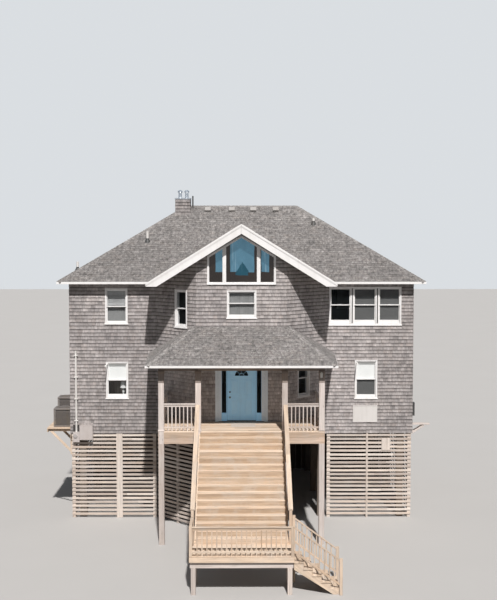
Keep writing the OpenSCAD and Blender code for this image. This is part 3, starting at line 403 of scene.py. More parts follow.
class Bag:
    """Collects many small meshes into one. T maps local x, y, z to the house frame."""

    def __init__(self):
        self.v, self.f, self.uv, self.c = [], [], [], []
        self.setT(IDENT)

    def setT(self, t):
        self.o, self.x, self.y = t
        self.flip = self.x.cross(self.y).z < 0
        return self

    def add(self, verts, faces, uvs, col):
        """uvs: one (u, v) per loop, in the order of faces. col: one colour or one per vertex."""
        b = len(self.v)
        o, x, y = self.o, self.x, self.y
        for p in verts:
            self.v.append((o[0] + x[0] * p[0] + y[0] * p[1], o[1] + x[1] * p[0] + y[1] * p[1], o[2] + p[2]))
        if isinstance(col, tuple):
            self.c.extend([col] * len(verts))
        else:
            self.c.extend(col)
        k = 0
        for f in faces:
            n = len(f)
            uu = uvs[k:k + n]
            k += n
            if self.flip:
                f = tuple(reversed(f))
                uu = list(reversed(uu))
            self.f.append(tuple(i + b for i in f))
            self.uv.extend(uu)

    def obj(self, name, mat, replaces=(), body="house", slot=None, smooth=False):
        me = bpy.data.meshes.new(name)
        # nothing stands out past the box of the frame
        vv = [(min(max(p[0], -7.1735), 7.0295), min(max(p[1], -12.4995), 4.4495), p[2]) for p in self.v]
        me.from_pydata(vv, [], self.f)
        uvl = me.uv_layers.new(name="UVMap")
        uvl.data.foreach_set("uv", np.array(self.uv, np.float32).ravel())
        at = me.attributes.new("rnd", "FLOAT_COLOR", "POINT")
        c = np.ones((len(self.c), 4), np.float32)
        c[:, :3] = np.array(self.c, np.float32)
        at.data.foreach_set("color", c.ravel())
        me.materials.append(mat)
        if smooth:
            me.polygons.foreach_set("use_smooth", [True] * len(me.polygons))
        me.update()
        o = bpy.data.objects.new(name, me)
        bpy.context.scene.collection.objects.link(o)
        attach(o, body)
        if replaces:
            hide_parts(*replaces)
        return o


def tone(base=0.5, spread=0.35):
    return (min(1, max(0, rnd.gauss(base, spread))), max(0.0, rnd.gauss(0.15, 0.35)), 0.5)


def board(bag, p0, p1, w, t, up=(0, 0, 1), ch=0.003, n=1, warp=0.0, col=None):
    """A chamfered board along p0-p1: w across, t along up. Grain runs along u."""
    p0, p1, up = Vector(p0), Vector(p1), Vector(up)
    L = p1 - p0
    ln = L.length
    L /= ln
    sd = L.cross(up)
    sd.normalize()
    up = sd.cross(L)
    ch = min(ch, w * 0.3, t * 0.3)
    a, b = w / 2, t / 2
    sec = [(-a + ch, -b), (a - ch, -b), (a, -b + ch), (a, b - ch), (a - ch, b), (-a + ch, b), (-a, b - ch), (-a, -b + ch)]
    per = [0]
    for i in range(8):
        q, r = sec[i], sec[(i + 1) % 8]
        per.append(per[-1] + math.hypot(q[0] - r[0], q[1] - r[1]))
    verts, faces, uvs = [], [], []
    ou, ov = rnd.uniform(0, 40), rnd.uniform(0, 40)
    ww = [0.0] + [rnd.uniform(-warp, warp) for _ in range(n - 1)] + [0.0]
    wt = [0.0] + [rnd.uniform(-warp, warp) for _ in range(n - 1)] + [0.0]
    for k in range(n + 1):
        c = p0 + L * (ln * k / n) + sd * ww[k] + up * wt[k]
        for q in sec:
            verts.append(tuple(c + sd * q[0] + up * q[1]))
    for k in range(n):
        u0, u1 = ou + ln * k / n, ou + ln * (k + 1) / n
        for i in range(8):
            j = (i + 1) % 8
            faces.append((k * 8 + i, (k + 1) * 8 + i, (k + 1) * 8 + j, k * 8 + j))
            uvs += [(u0, ov + per[i]), (u1, ov + per[i]), (u1, ov + per[i + 1]), (u0, ov + per[i + 1])]
    faces.append(tuple(range(8)))
    uvs += [(ou + q[1], ov + q[0]) for q in sec]
    e = n * 8
    faces.append(tuple(e + i for i in reversed(range(8))))
    uvs += [(ou + q[1], ov + q[0]) for q in reversed(sec)]
    bag.add(verts, faces, uvs, col or tone())


def bx(bag, x0, x1, y0, y1, z0, z1, g=None, ch=0.003, n=1, warp=0.0, col=None):
    """Board from its box. g is the grain axis, the longest side if not given."""
    d = (x1 - x0, y1 - y0, z1 - z0)
    if g is None:
        g = max(range(3), key=lambda i: d[i])
    else:
        g = "xyz".index(g)
    cx, cy, cz = (x0 + x1) / 2, (y0 + y1) / 2, (z0 + z1) / 2
    if g == 0:
        board(bag, (x0, cy, cz), (x1, cy, cz), d[1], d[2], (0, 0, 1), ch, n, warp, col)
    elif g == 1:
        board(bag, (cx, y0, cz), (cx, y1, cz), d[0], d[2], (0, 0, 1), ch, n, warp, col)
    else:
        board(bag, (cx, cy, z0), (cx, cy, z1), d[1], d[0], (1, 0, 0), ch, n, warp, col)


def sheet(bag, pts, t, uvs=None, col=None):
    """Flat polygon pts (local x, z) in the plane y, thickness t: pts are (x, y, z), front first."""
    n = len(pts)
    back = [(p[0], p[1] + t, p[2]) for p in pts]
    ou, ov = rnd.uniform(0, 30), rnd.uniform(0, 30)
    f = [tuple(range(n)), tuple(reversed(range(n, 2 * n)))]
    uv = [(ou + p[0], ov + p[2]) for p in pts] + [(ou + p[0], ov + p[2]) for p in reversed(back)]
    for i in range(n):
        j = (i + 1) % n
        f.append((j, i, n + i, n + j))
        uv += [(ou, ov), (ou, ov + .1), (ou + t, ov + .1), (ou + t, ov)]
    bag.add(list(pts) + back, f, uv, col or tone())


def prism(bag, prof, x0, x1, axis="x", col=None, grain=True, rot=0.0):
    """Extrudes a profile: axis x takes (y, z) points, axis y takes (x, z) points, anticlockwise from outside the end at x1."""
    n = len(prof)
    area = sum(prof[i][0] * prof[(i + 1) % n][1] - prof[(i + 1) % n][0] * prof[i][1] for i in range(n))
    if area * (x1 - x0) < 0:
        prof = list(reversed(prof))
    ou, ov = rnd.uniform(0, 40), rnd.uniform(0, 40)
    ca, sa = math.cos(rot), math.sin(rot)
    tw = lambda p: (ou + p[0] * ca + p[1] * sa, ov - p[0] * sa + p[1] * ca)
    if axis == "x":
        A = [(x0, p[0], p[1]) for p in prof]
        B = [(x1, p[0], p[1]) for p in prof]
    else:
        A = [(p[0], x1, p[1]) for p in prof]
        B = [(p[0], x0, p[1]) for p in prof]
    f = [tuple(reversed(range(n))), tuple(range(n, 2 * n))]
    uv = [tw(p) for p in reversed(prof)] + [tw(p) for p in prof]
    d = 0
    ln = abs(x1 - x0)
    for i in range(n):
        j = (i + 1) % n
        e = math.hypot(prof[i][0] - prof[j][0], prof[i][1] - prof[j][1])
        f.append((i, j, n + j, n + i))
        if grain:
            uv += [(ou, ov + d), (ou, ov + d + e), (ou + ln, ov + d + e), (ou + ln, ov + d)]
        else:
            uv += [(ou + d, ov), (ou + d + e, ov), (ou + d + e, ov + ln), (ou + d, ov + ln)]
        d += e
    bag.add(A + B, f, uv, col or tone())


def lathe(bag, c, prof, seg=24, axis="z", col=None, cap=True):
    """Turned piece round a vertical axis (or along local -y) through c: prof is (radius, height) from low to high."""
    verts, faces, uvs = [], [], []
    for r, h in prof:
        for i in range(seg):
            a = 2 * math.pi * i / seg
            if axis == "z":
                verts.append((c[0] + r * math.cos(a), c[1] + r * math.sin(a), c[2] + h))
            else:
                verts.append((c[0] + r * math.cos(a), c[1] - h, c[2] + r * math.sin(a)))
    for k in range(len(prof) - 1):
        for i in range(seg):
            j = (i + 1) % seg
            faces.append((k * seg + i, k * seg + j, (k + 1) * seg + j, (k + 1) * seg + i))
            u0, u1 = i / seg, (i + 1) / seg
            uvs += [(u0, k * .1), (u1, k * .1), (u1, k * .1 + .1), (u0, k * .1 + .1)]
    if cap:
        faces.append(tuple(reversed(range(seg))))
        uvs += [(.5, .5)] * seg
        b = (len(prof) - 1) * seg
        faces.append(tuple(range(b, b + seg)))
        uvs += [(.5, .5)] * seg
    bag.add(verts, faces, uvs, col or tone())


# ------------------------------------------------------------------ shingled walls
EXP = 0.128


def lay(bag, p, q, lo, hi, full, ztop, zmin):
    x = p
    while x < q - 0.008:
        w = rnd.choice((rnd.uniform(0.075, 0.14), rnd.uniform(0.11, 0.23)))
        if q - (x + w) < 0.06:
            w = q - x
        g = rnd.uniform(0.0006, 0.0018)
        xl, xr = x + (g if x > p else 0), x + w - (g if x + w < q - 1e-6 else 0)
        x += w
        j = rnd.uniform(-0.004, 0.003) if full else 0.0015
        if full and rnd.random() < 0.03:
            j -= rnd.uniform(0.002, 0.008)
        t = rnd.uniform(-0.0015, 0.0015) if full else 0
        zl, zr = lo + j + t, lo + j - t
        tl = tr = hi
        if zmin:
            zl, zr = max(zl, zmin(xl)), max(zr, zmin(xr))
        if ztop:
            tl, tr = min(hi, ztop(xl)), min(hi, ztop(xr))
        if tl - zl < 0.004 and tr - zr < 0.004:
            continue
        tl, tr = max(tl, zl + 0.001), max(tr, zr + 0.001)
        th = rnd.uniform(0.013, 0.018)
        k = lambda h: max(0.003, th - (th - 0.003) * h / (EXP + 0.012))
        a, b2, c2, d2 = th, th + rnd.uniform(-0.001, 0.001), k(tr - zr), k(tl - zl)
        v = [(xl, -a, zl), (xr, -b2, zr), (xr, -c2, tr), (xl, -d2, tl),
             (xl, .002, zl), (xr, .002, zr), (xr, .002, tr), (xl, .002, tl)]
        r = min(1, max(0, rnd.gauss(0.54, 0.21)))
        if rnd.random() < 0.03:
            r = rnd.choice((0.0, 0.05, 1.0, 1.0))
        wm = max(0, min(1, rnd.gauss(0.06, 0.22)))
        # wt and the darker back corners feed painted shade: under the next course, on each butt's underside and on the
        # shingle's sides
        wt = [1.0, 1.0, max(0, 1 - (tr - zr) / (EXP + .012)), max(0, 1 - (tl - zl) / (EXP + .012))]
        col = [(r, wm, wt[i % 4]) for i in range(4)] + [(r * .4, wm, .1)] * 4
        ou, ov = rnd.uniform(0, 60), rnd.uniform(0, 60)
        uv = []
        fs = [(0, 1, 2, 3), (4, 5, 1, 0), (4, 0, 3, 7), (1, 5, 6, 2)]
        for f in fs:
            for i in f:
                uv.append((ou + v[i][0] + v[i][1], ov + v[i][2] - zl))
        bag.add(v, fs, uv, col)


def shingles(bag, T, x0, x1, z0, z1, holes=(), ztop=None, zmin=None, ext=(0, 0), splits=()):
    """Courses of shingles between x0 and x1. ext: 1 lets even, 2 odd courses run over the outer corner."""
    bag.setT(T)
    n = int(math.ceil((z1 - z0) / EXP - 1e-6))
    for i in range(n):
        zb = z0 + i * EXP
        zt = min(zb + EXP + 0.012, z1)
        xa = x0 - (0.013 if ext[0] and (i + ext[0]) % 2 else 0)
        xb = x1 + (0.013 if ext[1] and (i + ext[1]) % 2 else 0)
        act = [h for h in holes if h[2] < zt - 1e-4 and h[3] > zb + 1e-4]
        ed = {xa, xb}
        for h in act:
            ed |= {e for e in (h[0], h[1]) if xa < e < xb}
        ed |= {e for e in splits if xa < e < xb}
        ed = sorted(ed)
        runs = []
        for p, q in zip(ed, ed[1:]):
            m = (p + q) / 2
            iv = [(zb, zt)]
            for h in act:
                if h[0] < m < h[1]:
                    nv = []
                    for lo, hi in iv:
                        if h[2] > lo:
                            nv.append((lo, min(hi, h[2])))
                        if h[3] < hi:
                            nv.append((max(lo, h[3]), hi))
                    iv = [(lo, hi) for lo, hi in nv if hi - lo > 0.003]
            if runs and runs[-1][2] == iv and p not in splits:
                runs[-1][1] = q
            else:
                runs.append([p, q, iv])
        for p, q, iv in runs:
            for lo, hi in iv:
                lay(bag, p, q, lo, hi, lo == zb, ztop, zmin)


def win_box(w):
    """Outline of a window's casing with its sill: x0, x1, z0, z1."""
    return [(w[0] - w[2] / 2, w[0] + w[2] / 2, w[1], w[1] + w[3]),
            (w[0] - w[2] / 2 - 0.025, w[0] + w[2] / 2 + 0.025, w[1] - 0.035, w[1])]


LEFT_W = [(-4.560, 7.181, .820, 1.279, 1), (-4.550, 4.440, .812, 1.327, 1)]
RIGHT_W = [(4.512, 7.131, 2.640, 1.378, 3), (4.560, 4.430, .824, 1.400, 1)]
BACK_W = [(x, z, .820, 1.329, 1) for z in (7.131, 4.440) for x in (-4.56, -1.52, 1.52, 4.56)]
SIDE_W = [(x, z, .820, 1.329, 1) for z in (7.131, 4.440) for x in (-2.0, 2.0)]
SMALL_W = (0.005, 7.506, 1.036, .963, 1)
FL_W = (0.800, 7.131, .640, 1.329, 1)
FR_W = (0.890, 4.640, .640, 1.329, 1)
Z0S, ZE = 3.14, 8.66
CAP = 0.012

fw = Bag()
hl = [h for w in LEFT_W for h in win_box(w)]
hr = [h for w in RIGHT_W for h in win_box(w)]
hl += [(-6.175, -5.437, 2.9, 3.455), (-4.987 + 0.0, -4.986, 3, 3)]
hr += [(4.087, 4.980, 3.549, 4.161)]
shingles(fw, W["front"], -6.27, -3.13, Z0S, ZE, hl, ext=(1, 0))
shingles(fw, W["front"], 3.13, 6.27, Z0S, ZE, hr, ext=(0, 1))
fw.obj("front_wall_shingles", M["shingle"], slot="shingle_siding")

sw = Bag()
hs = [h for w in SIDE_W for h in win_box(w)]
shingles(sw, W["left"], -4.05, 4.05, Z0S, ZE, hs, ext=(2, 2))
shingles(sw, W["right"], -4.05, 4.05, Z0S, ZE, hs, ext=(2, 2))
sw.obj("side_wall_shingles", M["shingle"], slot="shingle_siding")

bw = Bag()
shingles(bw, W["back"], -6.27, 6.27, Z0S, ZE, [h for w in BACK_W for h in win_box(w)], ext=(1, 1))
bw.obj("back_wall_shingles", M["shingle"], slot="shingle_siding")

GT = 10.779 - 0.2           # underside of the gable roof on the centre line
fc = Bag()
zt_f = lambda u: GT - 0.62 * (1.58 + S2 * u) + 0.05
shingles(fc, W["fl"], 0.0, 2.192, Z0S, 9.66, win_box(FL_W), ztop=zt_f, ext=(2, 0))
shingles(fc, W["fr"], 0.0, 2.192, Z0S, 9.66, win_box(FR_W), ztop=zt_f, ext=(2, 0))
fc.obj("bay_facet_shingles", M["shingle"], slot="shingle_siding")

bm = Bag()
sl = (10.386 - 9.660) / 1.195
gw_top = lambda x: 10.386 + CAP - sl * abs(x) if abs(x) < 1.1951 else -9
ZM = Z0S + 51 * EXP
shingles(bm, W["bay"], -1.58, 1.58, Z0S, ZM,
         [(-0.925, 0.925, 3.85, 6.05)] + win_box(SMALL_W) + [(-1.195, 1.195, 8.690, 9.67), (-1.215, 1.215, 8.665, 8.690)],
         ztop=lambda x: GT - 0.62 * abs(x) + 0.05, ext=(1, 1), splits=(0.0,))
shingles(bm, W["bay"], -1.58, 1.58, ZM, 10.66, ztop=lambda x: GT - 0.62 * abs(x) + 0.05, zmin=gw_top, splits=(-1.195, -.6, 0.0, .6, 1.195))
bm.obj("bay_front_shingles", M["shingle"], slot="shingle_siding")

ch = Bag()
CHF = [((Vector((0, -0.56, 0)), Vector((1, 0, 0)), Vector((0, 1, 0))), -2.61, -2.035, 11.0),
       ((Vector((0, 0.08, 0)), Vector((-1, 0, 0)), Vector((0, -1, 0))), 2.035, 2.61, 11.3),
       ((Vector((-2.61, 0, 0)), Vector((0, -1, 0)), Vector((1, 0, 0))), -0.08, 0.56, 11.0),
       ((Vector((-2.035, 0, 0)), Vector((0, 1, 0)), Vector((-1, 0, 0))), -0.56, 0.08, 11.0)]
for k, (T, a, b, z) in enumerate(CHF):
    shingles(ch, T, a, b, 11.835 - EXP * 7, 11.835, ext=(1, 1) if k < 2 else (2, 2))
ch.obj("chimney_shingles", M["chimney"], slot="shingle_siding")

# ------------------------------------------------------------------ roofs


def tabs(bag, O, U, S, N, smax, ivs, e=0.143, first=0.012, hip=None):
    """Rows of tabs up a slope. hip gives the ends of the slope at a distance up it, where the tabs are cut on the skew."""
    bag.setT(IDENT)
    hip = hip or (lambda s: (-99, 99))
    O, U, S, N = Vector(O), Vector(U), Vector(S), Vector(N)
    rows = int(math.ceil(smax / e))
    for i in range(rows):
        s0 = i * e - (first if i == 0 else 0)
        s1 = min((i + 1) * e + 0.02, smax)
        for a, b in ivs(max(0, i * e), min((i + 1) * e, smax)):
            if b - a < 0.02:
                continue
            x = a - rnd.uniform(0, 0.15)
            while x < b - 0.01:
                w = rnd.choice((0.166, 0.166, 0.25, 0.333, 0.14))
                xa, xb = max(a, x + 0.002), min(b, x + w - 0.002)
                x += w
                if xb - xa < 0.01:
                    continue
                h = rnd.uniform(0.005, 0.010)
                j = rnd.uniform(-0.004, 0.004) if i else 0
                lo1, hi1 = hip(s1)
                lo0, hi0 = hip(s0 + j)
                xa, xb = max(xa, lo0), min(xb, hi0)
                if xb - xa < 0.01:
                    continue
                xc, xd = min(max(xb, lo1), hi1), min(max(xa, lo1), hi1)
                v = [O + U * xa + S * (s0 + j) + N * h, O + U * xb + S * (s0 + j) + N * h,
                     O + U * xc + S * s1 + N * .002, O + U * xd + S * s1 + N * .002,
                     O + U * xa + S * (s0 + j) - N * .003, O + U * xb + S * (s0 + j) - N * .003]
                fs = [(0, 1, 2, 3), (4, 5, 1, 0), (4, 0, 3), (1, 5, 2)]
                r = min(1, max(0, rnd.gauss(0.5, 0.11)))
                if rnd.random() < 0.05:
                    r = rnd.choice((0.15, 0.2, 0.85))
                g = max(0, min(1, rnd.gauss(0.1, 0.25)))
                # w runs from 1 at the butt to 0.05 under the next row and the butt face's low corners are darker:
                # painted shade at the butts
                col = [(r, g, 1.0), (r, g, 1.0), (r, g, 0.05), (r, g, 0.05), (r * .3, g, .5), (r * .3, g, .5)]
                ou = xa
                uv = []
                if xc - xd < 0.002:          # cut to a point at the hip
                    v = v[:3] + v[4:]
                    fs = [(0, 1, 2), (3, 4, 1, 0), (3, 0, 2), (1, 4, 2)]
                    col = col[:3] + col[4:]
                    lc = [(xa, s0), (xb, s0), (xc, s1), (xa, s0 - h), (xb, s0 - h)]
                else:
                    lc = [(xa, s0), (xb, s0), (xc, s1), (xd, s1), (xa, s0 - h), (xb, s0 - h)]
                for f in fs:
                    uv += [lc[q] for q in f]
                bag.add([tuple(p) for p in v], fs, uv, col)


def caps(bag, P0, P1, A, B, e=0.143, w=0.14, lift=0.008):
    """Bent cap pieces over a ridge or hip from P0 up to P1. A and B point down the two slopes."""
    bag.setT(IDENT)
    P0, P1, A, B = Vector(P0), Vector(P1), Vector(A).normalized(), Vector(B).normalized()
    D = P1 - P0
    ln = D.length
    D /= ln
    up = -(A + B)
    up = (up - D * up.dot(D)).normalized()
    n = int(ln / e)
    for i in range(n + 1):
        t0 = i * e
        t1 = min(t0 + e + 0.03, ln)
        if t1 - t0 < 0.03:
            continue
        r = min(1, max(0, rnd.gauss(0.5, 0.10)))
        g = max(0, min(1, rnd.gauss(0.1, 0.2)))
        wa, wb = w + rnd.uniform(-.005, .005), w + rnd.uniform(-.005, .005)
        q0, q1 = P0 + D * t0, P0 + D * t1
        l0, l1 = lift + rnd.uniform(0, .003), lift - 0.0035
        v = [q0 + up * (l0 + .006), q0 + A * wa + up * l0, q1 + A * wa + up * l1, q1 + up * (l1 + .004),
             q1 + B * wb + up * l1, q0 + B * wb + up * l0,
             q0 - up * .004, q0 + A * wa - up * .006, q0 + B * wb - up * .006, q1 + A * wa - up * .006, q1 + B * wb - up * .006]
        fs = [(0, 3, 2, 1), (0, 5, 4, 3), (6, 0, 1, 7), (6, 8, 5, 0), (1, 2, 9, 7), (5, 8, 10, 4)]
        for p in v:                     # stay over the eaves
            p.x = min(6.668, max(-6.668, p.x))
            p.y = min(4.447, p.y)
        if (v[3] - v[0]).cross(v[2] - v[0]).dot(up) < 0:
            fs = [tuple(reversed(f)) for f in fs]
        lc = [(0, t0), (wa, t0), (wa, t1), (0, t1), (-wb, t1), (-wb, t0), (0, t0 - .02), (wa, t0 - .02), (-wb, t0 - .02), (wa, t1), (-wb, t1)]
        uv = []
        for f in fs:
            uv += [lc[k] for k in f]
        # w per corner feeds the roof's painted shade ramp, darker at each cap's front edge
        wv = [1, 1, .1, .1, .1, 1, .6, .6, .6, .2, .2]
        bag.add([tuple(p) for p in v], fs, uv, [(r, g, wv[k]) for k in range(11)])


c1, s1_ = 1 / math.sqrt(1 + .64 ** 2), .64 / math.sqrt(1 + .64 ** 2)
SL = 4.43 / c1
mr = Bag()


def front_iv(a, b):
    d = b * c1
    d0 = a * c1
    k = 3.2 - 1.0323 * d
    if k > 0:
        return [(d0, 6.65 - k), (6.65 + k, 13.3 - d0)]
    return [(d0, 13.3 - d0)]


tabs(mr, (-6.65, -4.43, 8.733), (1, 0, 0), (0, c1, s1_), (0, -s1_, c1), SL, front_iv, hip=lambda s: (s * c1, 13.3 - s * c1))
tabs(mr, (6.65, 4.43, 8.733), (-1, 0, 0), (0, -c1, s1_), (0, s1_, c1), SL, lambda a, b: [(a * c1, 13.3 - a * c1)],
     hip=lambda s: (s * c1, 13.3 - s * c1))
tabs(mr, (6.65, -4.43, 8.733), (0, 1, 0), (-c1, 0, s1_), (s1_, 0, c1), SL, lambda a, b: [(a * c1, 8.86 - a * c1)],
     hip=lambda s: (s * c1, 8.86 - s * c1))
tabs(mr, (-6.65, 4.43, 8.733), (0, -1, 0), (c1, 0, s1_), (-s1_, 0, c1), SL, lambda a, b: [(a * c1, 8.86 - a * c1)],
     hip=lambda s: (s * c1, 8.86 - s * c1))
mr.obj("main_roof_tabs", M["roof"], slot="roof_shingle")

gr = Bag()
c2_, s2_ = 1 / math.sqrt(1 + .62 ** 2), .62 / math.sqrt(1 + .62 ** 2)
tabs(gr, (3.3, -6.0, 8.733), (0, 1, 0), (-c2_, 0, s2_), (s2_, 0, c2_), 3.3 / c2_,
     lambda a, b: [(0.0, 1.67 + .96875 * b * c2_)], first=0.010)
tabs(gr, (-3.3, 0, 8.733), (0, -1, 0), (c2_, 0, s2_), (-s2_, 0, c2_), 3.3 / c2_,
     lambda a, b: [(4.33 - .96875 * b * c2_, 6.0)], first=0.010)
gr.obj("gable_roof_tabs", M["roof"], slot="roof_shingle")

pr = Bag()
c3_, s3_ = 1 / math.sqrt(1 + .475 ** 2), .475 / math.sqrt(1 + .475 ** 2)     # front slope
c5_, s5_ = 1 / math.sqrt(1 + .68 ** 2), .68 / math.sqrt(1 + .68 ** 2)         # side slopes
FL_A = math.atan(.21 / 3.85)                 # the side eaves open a little towards the wings
cF, sF = math.cos(FL_A), math.sin(FL_A)
HK = (.475 / .68 - sF) / cF
tabs(pr, (-3.17, -7.90, 6.110), (1, 0, 0), (0, c3_, s3_), (0, -s3_, c3_), 2.365 / c3_, lambda a, b: [(a * c3_ * HK, 6.34 - a * c3_ * HK)],
     hip=lambda s: (s * c3_ * HK, 6.34 - s * c3_ * HK))


def porch_iv(a, b):
    i0, i1 = a * c5_, b * c5_
    u1 = min((3.85 - i1 * sF) / cF, (3.89 - i1 * (cF + sF)) / (cF - sF)) - .004
    return [(i0 * (.68 / .475 - sF) / cF, u1)]


# porch side slopes take the lighter roof copy: painted light
prs = Bag()
tabs(prs, (3.17, -7.90, 6.110), (sF, cF, 0), (-cF * c5_, sF * c5_, s5_), (cF * s5_, -sF * s5_, c5_), 1.652 / c5_, porch_iv, hip=lambda s: (s * c5_ * (.68 / .475 - sF) / cF, 99))
tabs(prs, (-3.17, -7.90, 6.110), (sF, -cF, 0), (cF * c5_, sF * c5_, s5_), (-cF * s5_, -sF * s5_, c5_), 1.652 / c5_,
     lambda a, b: [(-porch_iv(a, b)[0][1], -porch_iv(a, b)[0][0])], hip=lambda s: (-99, -s * c5_ * (.68 / .475 - sF) / cF))
pr.obj("porch_roof_tabs", M["roof"], slot="roof_shingle")
prs.obj("porch_side_tabs", M["roof_side"], slot="roof_shingle")

cp = Bag()
RZ = 8.733 + .64 * 4.43
caps(cp, (-2.22, 0, RZ), (2.22, 0, RZ), (0, -c1, -s1_), (0, c1, -s1_))
for sx in (-1, 1):
    for sy in (-1, 1):
        P0, P1 = (sx * 6.64, sy * 4.42, 8.735), (sx * 2.22, 0, RZ)
        D = (Vector(P1) - Vector(P0)).normalized()
        A = Vector((sx * s1_, 0, c1)).cross(D) * (1 if sx * sy < 0 else -1)
        B = D.cross(Vector((0, sy * s1_, c1))) * (1 if sx * sy < 0 else -1)
        if A.z > 0:
            A = -A
        if B.z > 0:
            B = -B
        caps(cp, P0, P1, A, B)
    P0, P1 = (sx * 3.165, -7.895, 6.112), (sx * (3.17 - HK * 2.33), -5.57, 6.110 + .475 * 2.33)
    D = (Vector(P1) - Vector(P0)).normalized()
    A = Vector((sx * cF * s5_, -sF * s5_, c5_)).cross(D)
    B = Vector((0, -s3_, c3_)).cross(D)
    A = -A if A.z > 0 else A
    B = -B if B.z > 0 else B
    caps(cp, P0, P1, A, B)
caps(cp, (0, -6.0, 10.779), (0, -1.25, 10.779), (-c2_, 0, -s2_), (c2_, 0, -s2_))
cp.obj("ridge_and_hip_caps", M["roof_cap"], slot="roof_shingle")


def roof_body_mat():
    """Roof decks: dark felt on top, plain painted boards on the undersides."""
    m, nt, b, out = new_mat("roof_deck")
    ge = nd(nt, "ShaderNodeNewGeometry")
    nz = nd(nt, "ShaderNodeSeparateXYZ", {0: ge.outputs["True Normal"]}).outputs[2]
    under = ma(nt, "LESS_THAN", nz, -0.2)
    p = ge.outputs["Position"]
    n1 = noise(nt, p, 30, 4, 0.7)
    bd = nd(nt, "ShaderNodeTexWave", {"Vector": p, "Scale": 3.4, "Distortion": 0.0}, bands_direction="X", wave_profile="SAW")
    gap = ramp(nt, bd.outputs["Fac"], [(0.0, (0.25,) * 3), (0.05, (1,) * 3)])
    grn = noise(nt, scaled(nt, p, (60, 3, 60)), 1.0, 4, 0.6)
    top = mixc(nt, n1, (0.14, 0.134, 0.131, 1), (0.25, 0.24, 0.236, 1))
    un = mixc(nt, 1.0, mixc(nt, grn, (0.34, 0.32, 0.30, 1), (0.46, 0.44, 0.41, 1)), gap, "MULTIPLY")
    nt.links.new(mixc(nt, under, top, un), b.inputs["Base Color"])
    nt.links.new(gray(nt, n1, 0.75, 0.95), b.inputs["Roughness"])
    bp = nd(nt, "ShaderNodeBump", {"Height": n1, "Strength": 0.2, "Distance": 0.003})
    nt.links.new(bp.outputs[0], b.inputs["Normal"])
    return m


M["deckroof"] = roof_body_mat()

# ------------------------------------------------------------------ rake boards, fascia
ONE = (0.6, 0.2, 0.5)
rk = Bag()
zi = 10.779 - .335
xi = (zi - 8.62) / .62
for s in (-1, 1):
    pf = [(s * 0.0015, zi), (s * xi, 8.620), (s * 3.3, 8.620), (s * 3.3, 8.741), (s * 0.0015, 10.789)]
    if s < 0:
        pf = pf[::-1]
    prism(rk, pf, -5.97, -6.0, "y", col=ONE)
    # crown strip along the upper edge
    pf = [(s * 0.0015, 10.70), (s * 3.3, 8.660), (s * 3.3, 8.738), (s * 0.0015, 10.785)]
    if s < 0:
        pf = pf[::-1]
    prism(rk, pf, -6.0, -6.018, "y", col=(0.7, 0.1, 0.5))
rk.obj("gable_rake_boards", M["trim"], ["rake_boards"], slot="white_trim")

fa = Bag()
Z0F, Z1F = 8.632, 8.716


def strip(bag, p0, p1, z0, z1, t, out, joint=4.2):
    """Fascia in lengths with fine joints; out is the outward direction."""
    p0, p1, out = Vector(p0), Vector(p1), Vector(out)
    L = (p1 - p0).length
    n = max(1, round(L / joint))
    for i in range(n):
        a = p0 + (p1 - p0) * (i / n)
        b = p0 + (p1 - p0) * ((i + 1) / n)
        d = (b - a).normalized() * 0.001
        c = Vector((0, 0, (z0 + z1) / 2)) + out * (t / 2)
        board(bag, a + c + d, b + c - d, t, z1 - z0, (0, 0, 1), 0.003, col=tone(.6, .15))
    # narrow drip edge on top
    c = Vector((0, 0, z1 + 0.001)) + out * (t / 2)
    board(bag, p0 + c, p1 + c, t, 0.006, (0, 0, 1), 0.001, col=(.8, .1, .5))


strip(fa, (-6.67, -4.43, 0), (-3.3, -4.43, 0), Z0F, Z1F, .02, (0, -1, 0))
strip(fa, (3.3, -4.43, 0), (6.67, -4.43, 0), Z0F, Z1F, .02, (0, -1, 0))
strip(fa, (-6.67, 4.43, 0), (6.67, 4.43, 0), Z0F, Z1F, .02, (0, 1, 0))
for s in (-1, 1):
    strip(fa, (s * 6.65, -4.43, 0), (s * 6.65, 4.43, 0), Z0F, Z1F, .02, (s, 0, 0))
    strip(fa, (s * 3.3, -6.0, 0), (s * 3.3, -4.45, 0), Z0F, Z1F, .02, (s, 0, 0))
    strip(fa, (s * 3.171, -7.90, 0), (s * 3.379, -4.07, 0), 6.027, 6.102, .019, (s * cF, -sF, 0))
strip(fa, (-3.19, -7.90, 0), (3.19, -7.90, 0), 6.027, 6.102, .02, (0, -1, 0))
fa.obj("eave_fascia_boards", M["trim"], ["eave_fascia"], slot="white_trim")

# ------------------------------------------------------------------ windows
tr, ss, gl, gv = Bag(), Bag(), Bag(), Bag()
sh_w, sh_b, sc, cu, bl = Bag(), Bag(), Bag(), Bag(), Bag()


def pane(bag, a, b, c, d, y, t=0.004):
    sheet(bag, [(a, y, c), (b, y, c), (b, y, d), (a, y, d)], t, col=(.5, .5, .5))


def vanes(bag, a, b, c, d, y, per=.074):
    """Upright blind vanes under a head rail, each turned a little."""
    n = int((b - a) / per)
    bx(bag, a, b, y - .02, y + .02, d - .03, d, "x", col=(.6, .2, .5))
    for i in range(n):
        x = a + (b - a) * (i + .5) / n
        g = rnd.uniform(.25, .75)
        board(bag, (x, y, c + .01), (x, y, d - .032), .086, .002, (g, -1, 0), .0008, col=tone(.5, .5))


def blinds(bag, a, b, c, d, y, step=0.045):
    n = int((d - c) / step)
    bx(bag, a, b, y - .015, y + .02, d - .035, d, "x", col=(.6, .2, .5))
    for i in range(n - 1):
        z = d - .05 - i * step
        board(bag, (a, y, z), (b, y, z), 0.042, 0.003, (0, -.55 + rnd.uniform(-.03, .03), 1), 0.001, col=tone(.6, .1))
    for x in (a + (b - a) * .2, a + (b - a) * .8):
        bx(bag, x - .0015, x + .0015, y - .02, y - .017, c, d - .03, "z", ch=.0005, col=(.5, .2, .5))


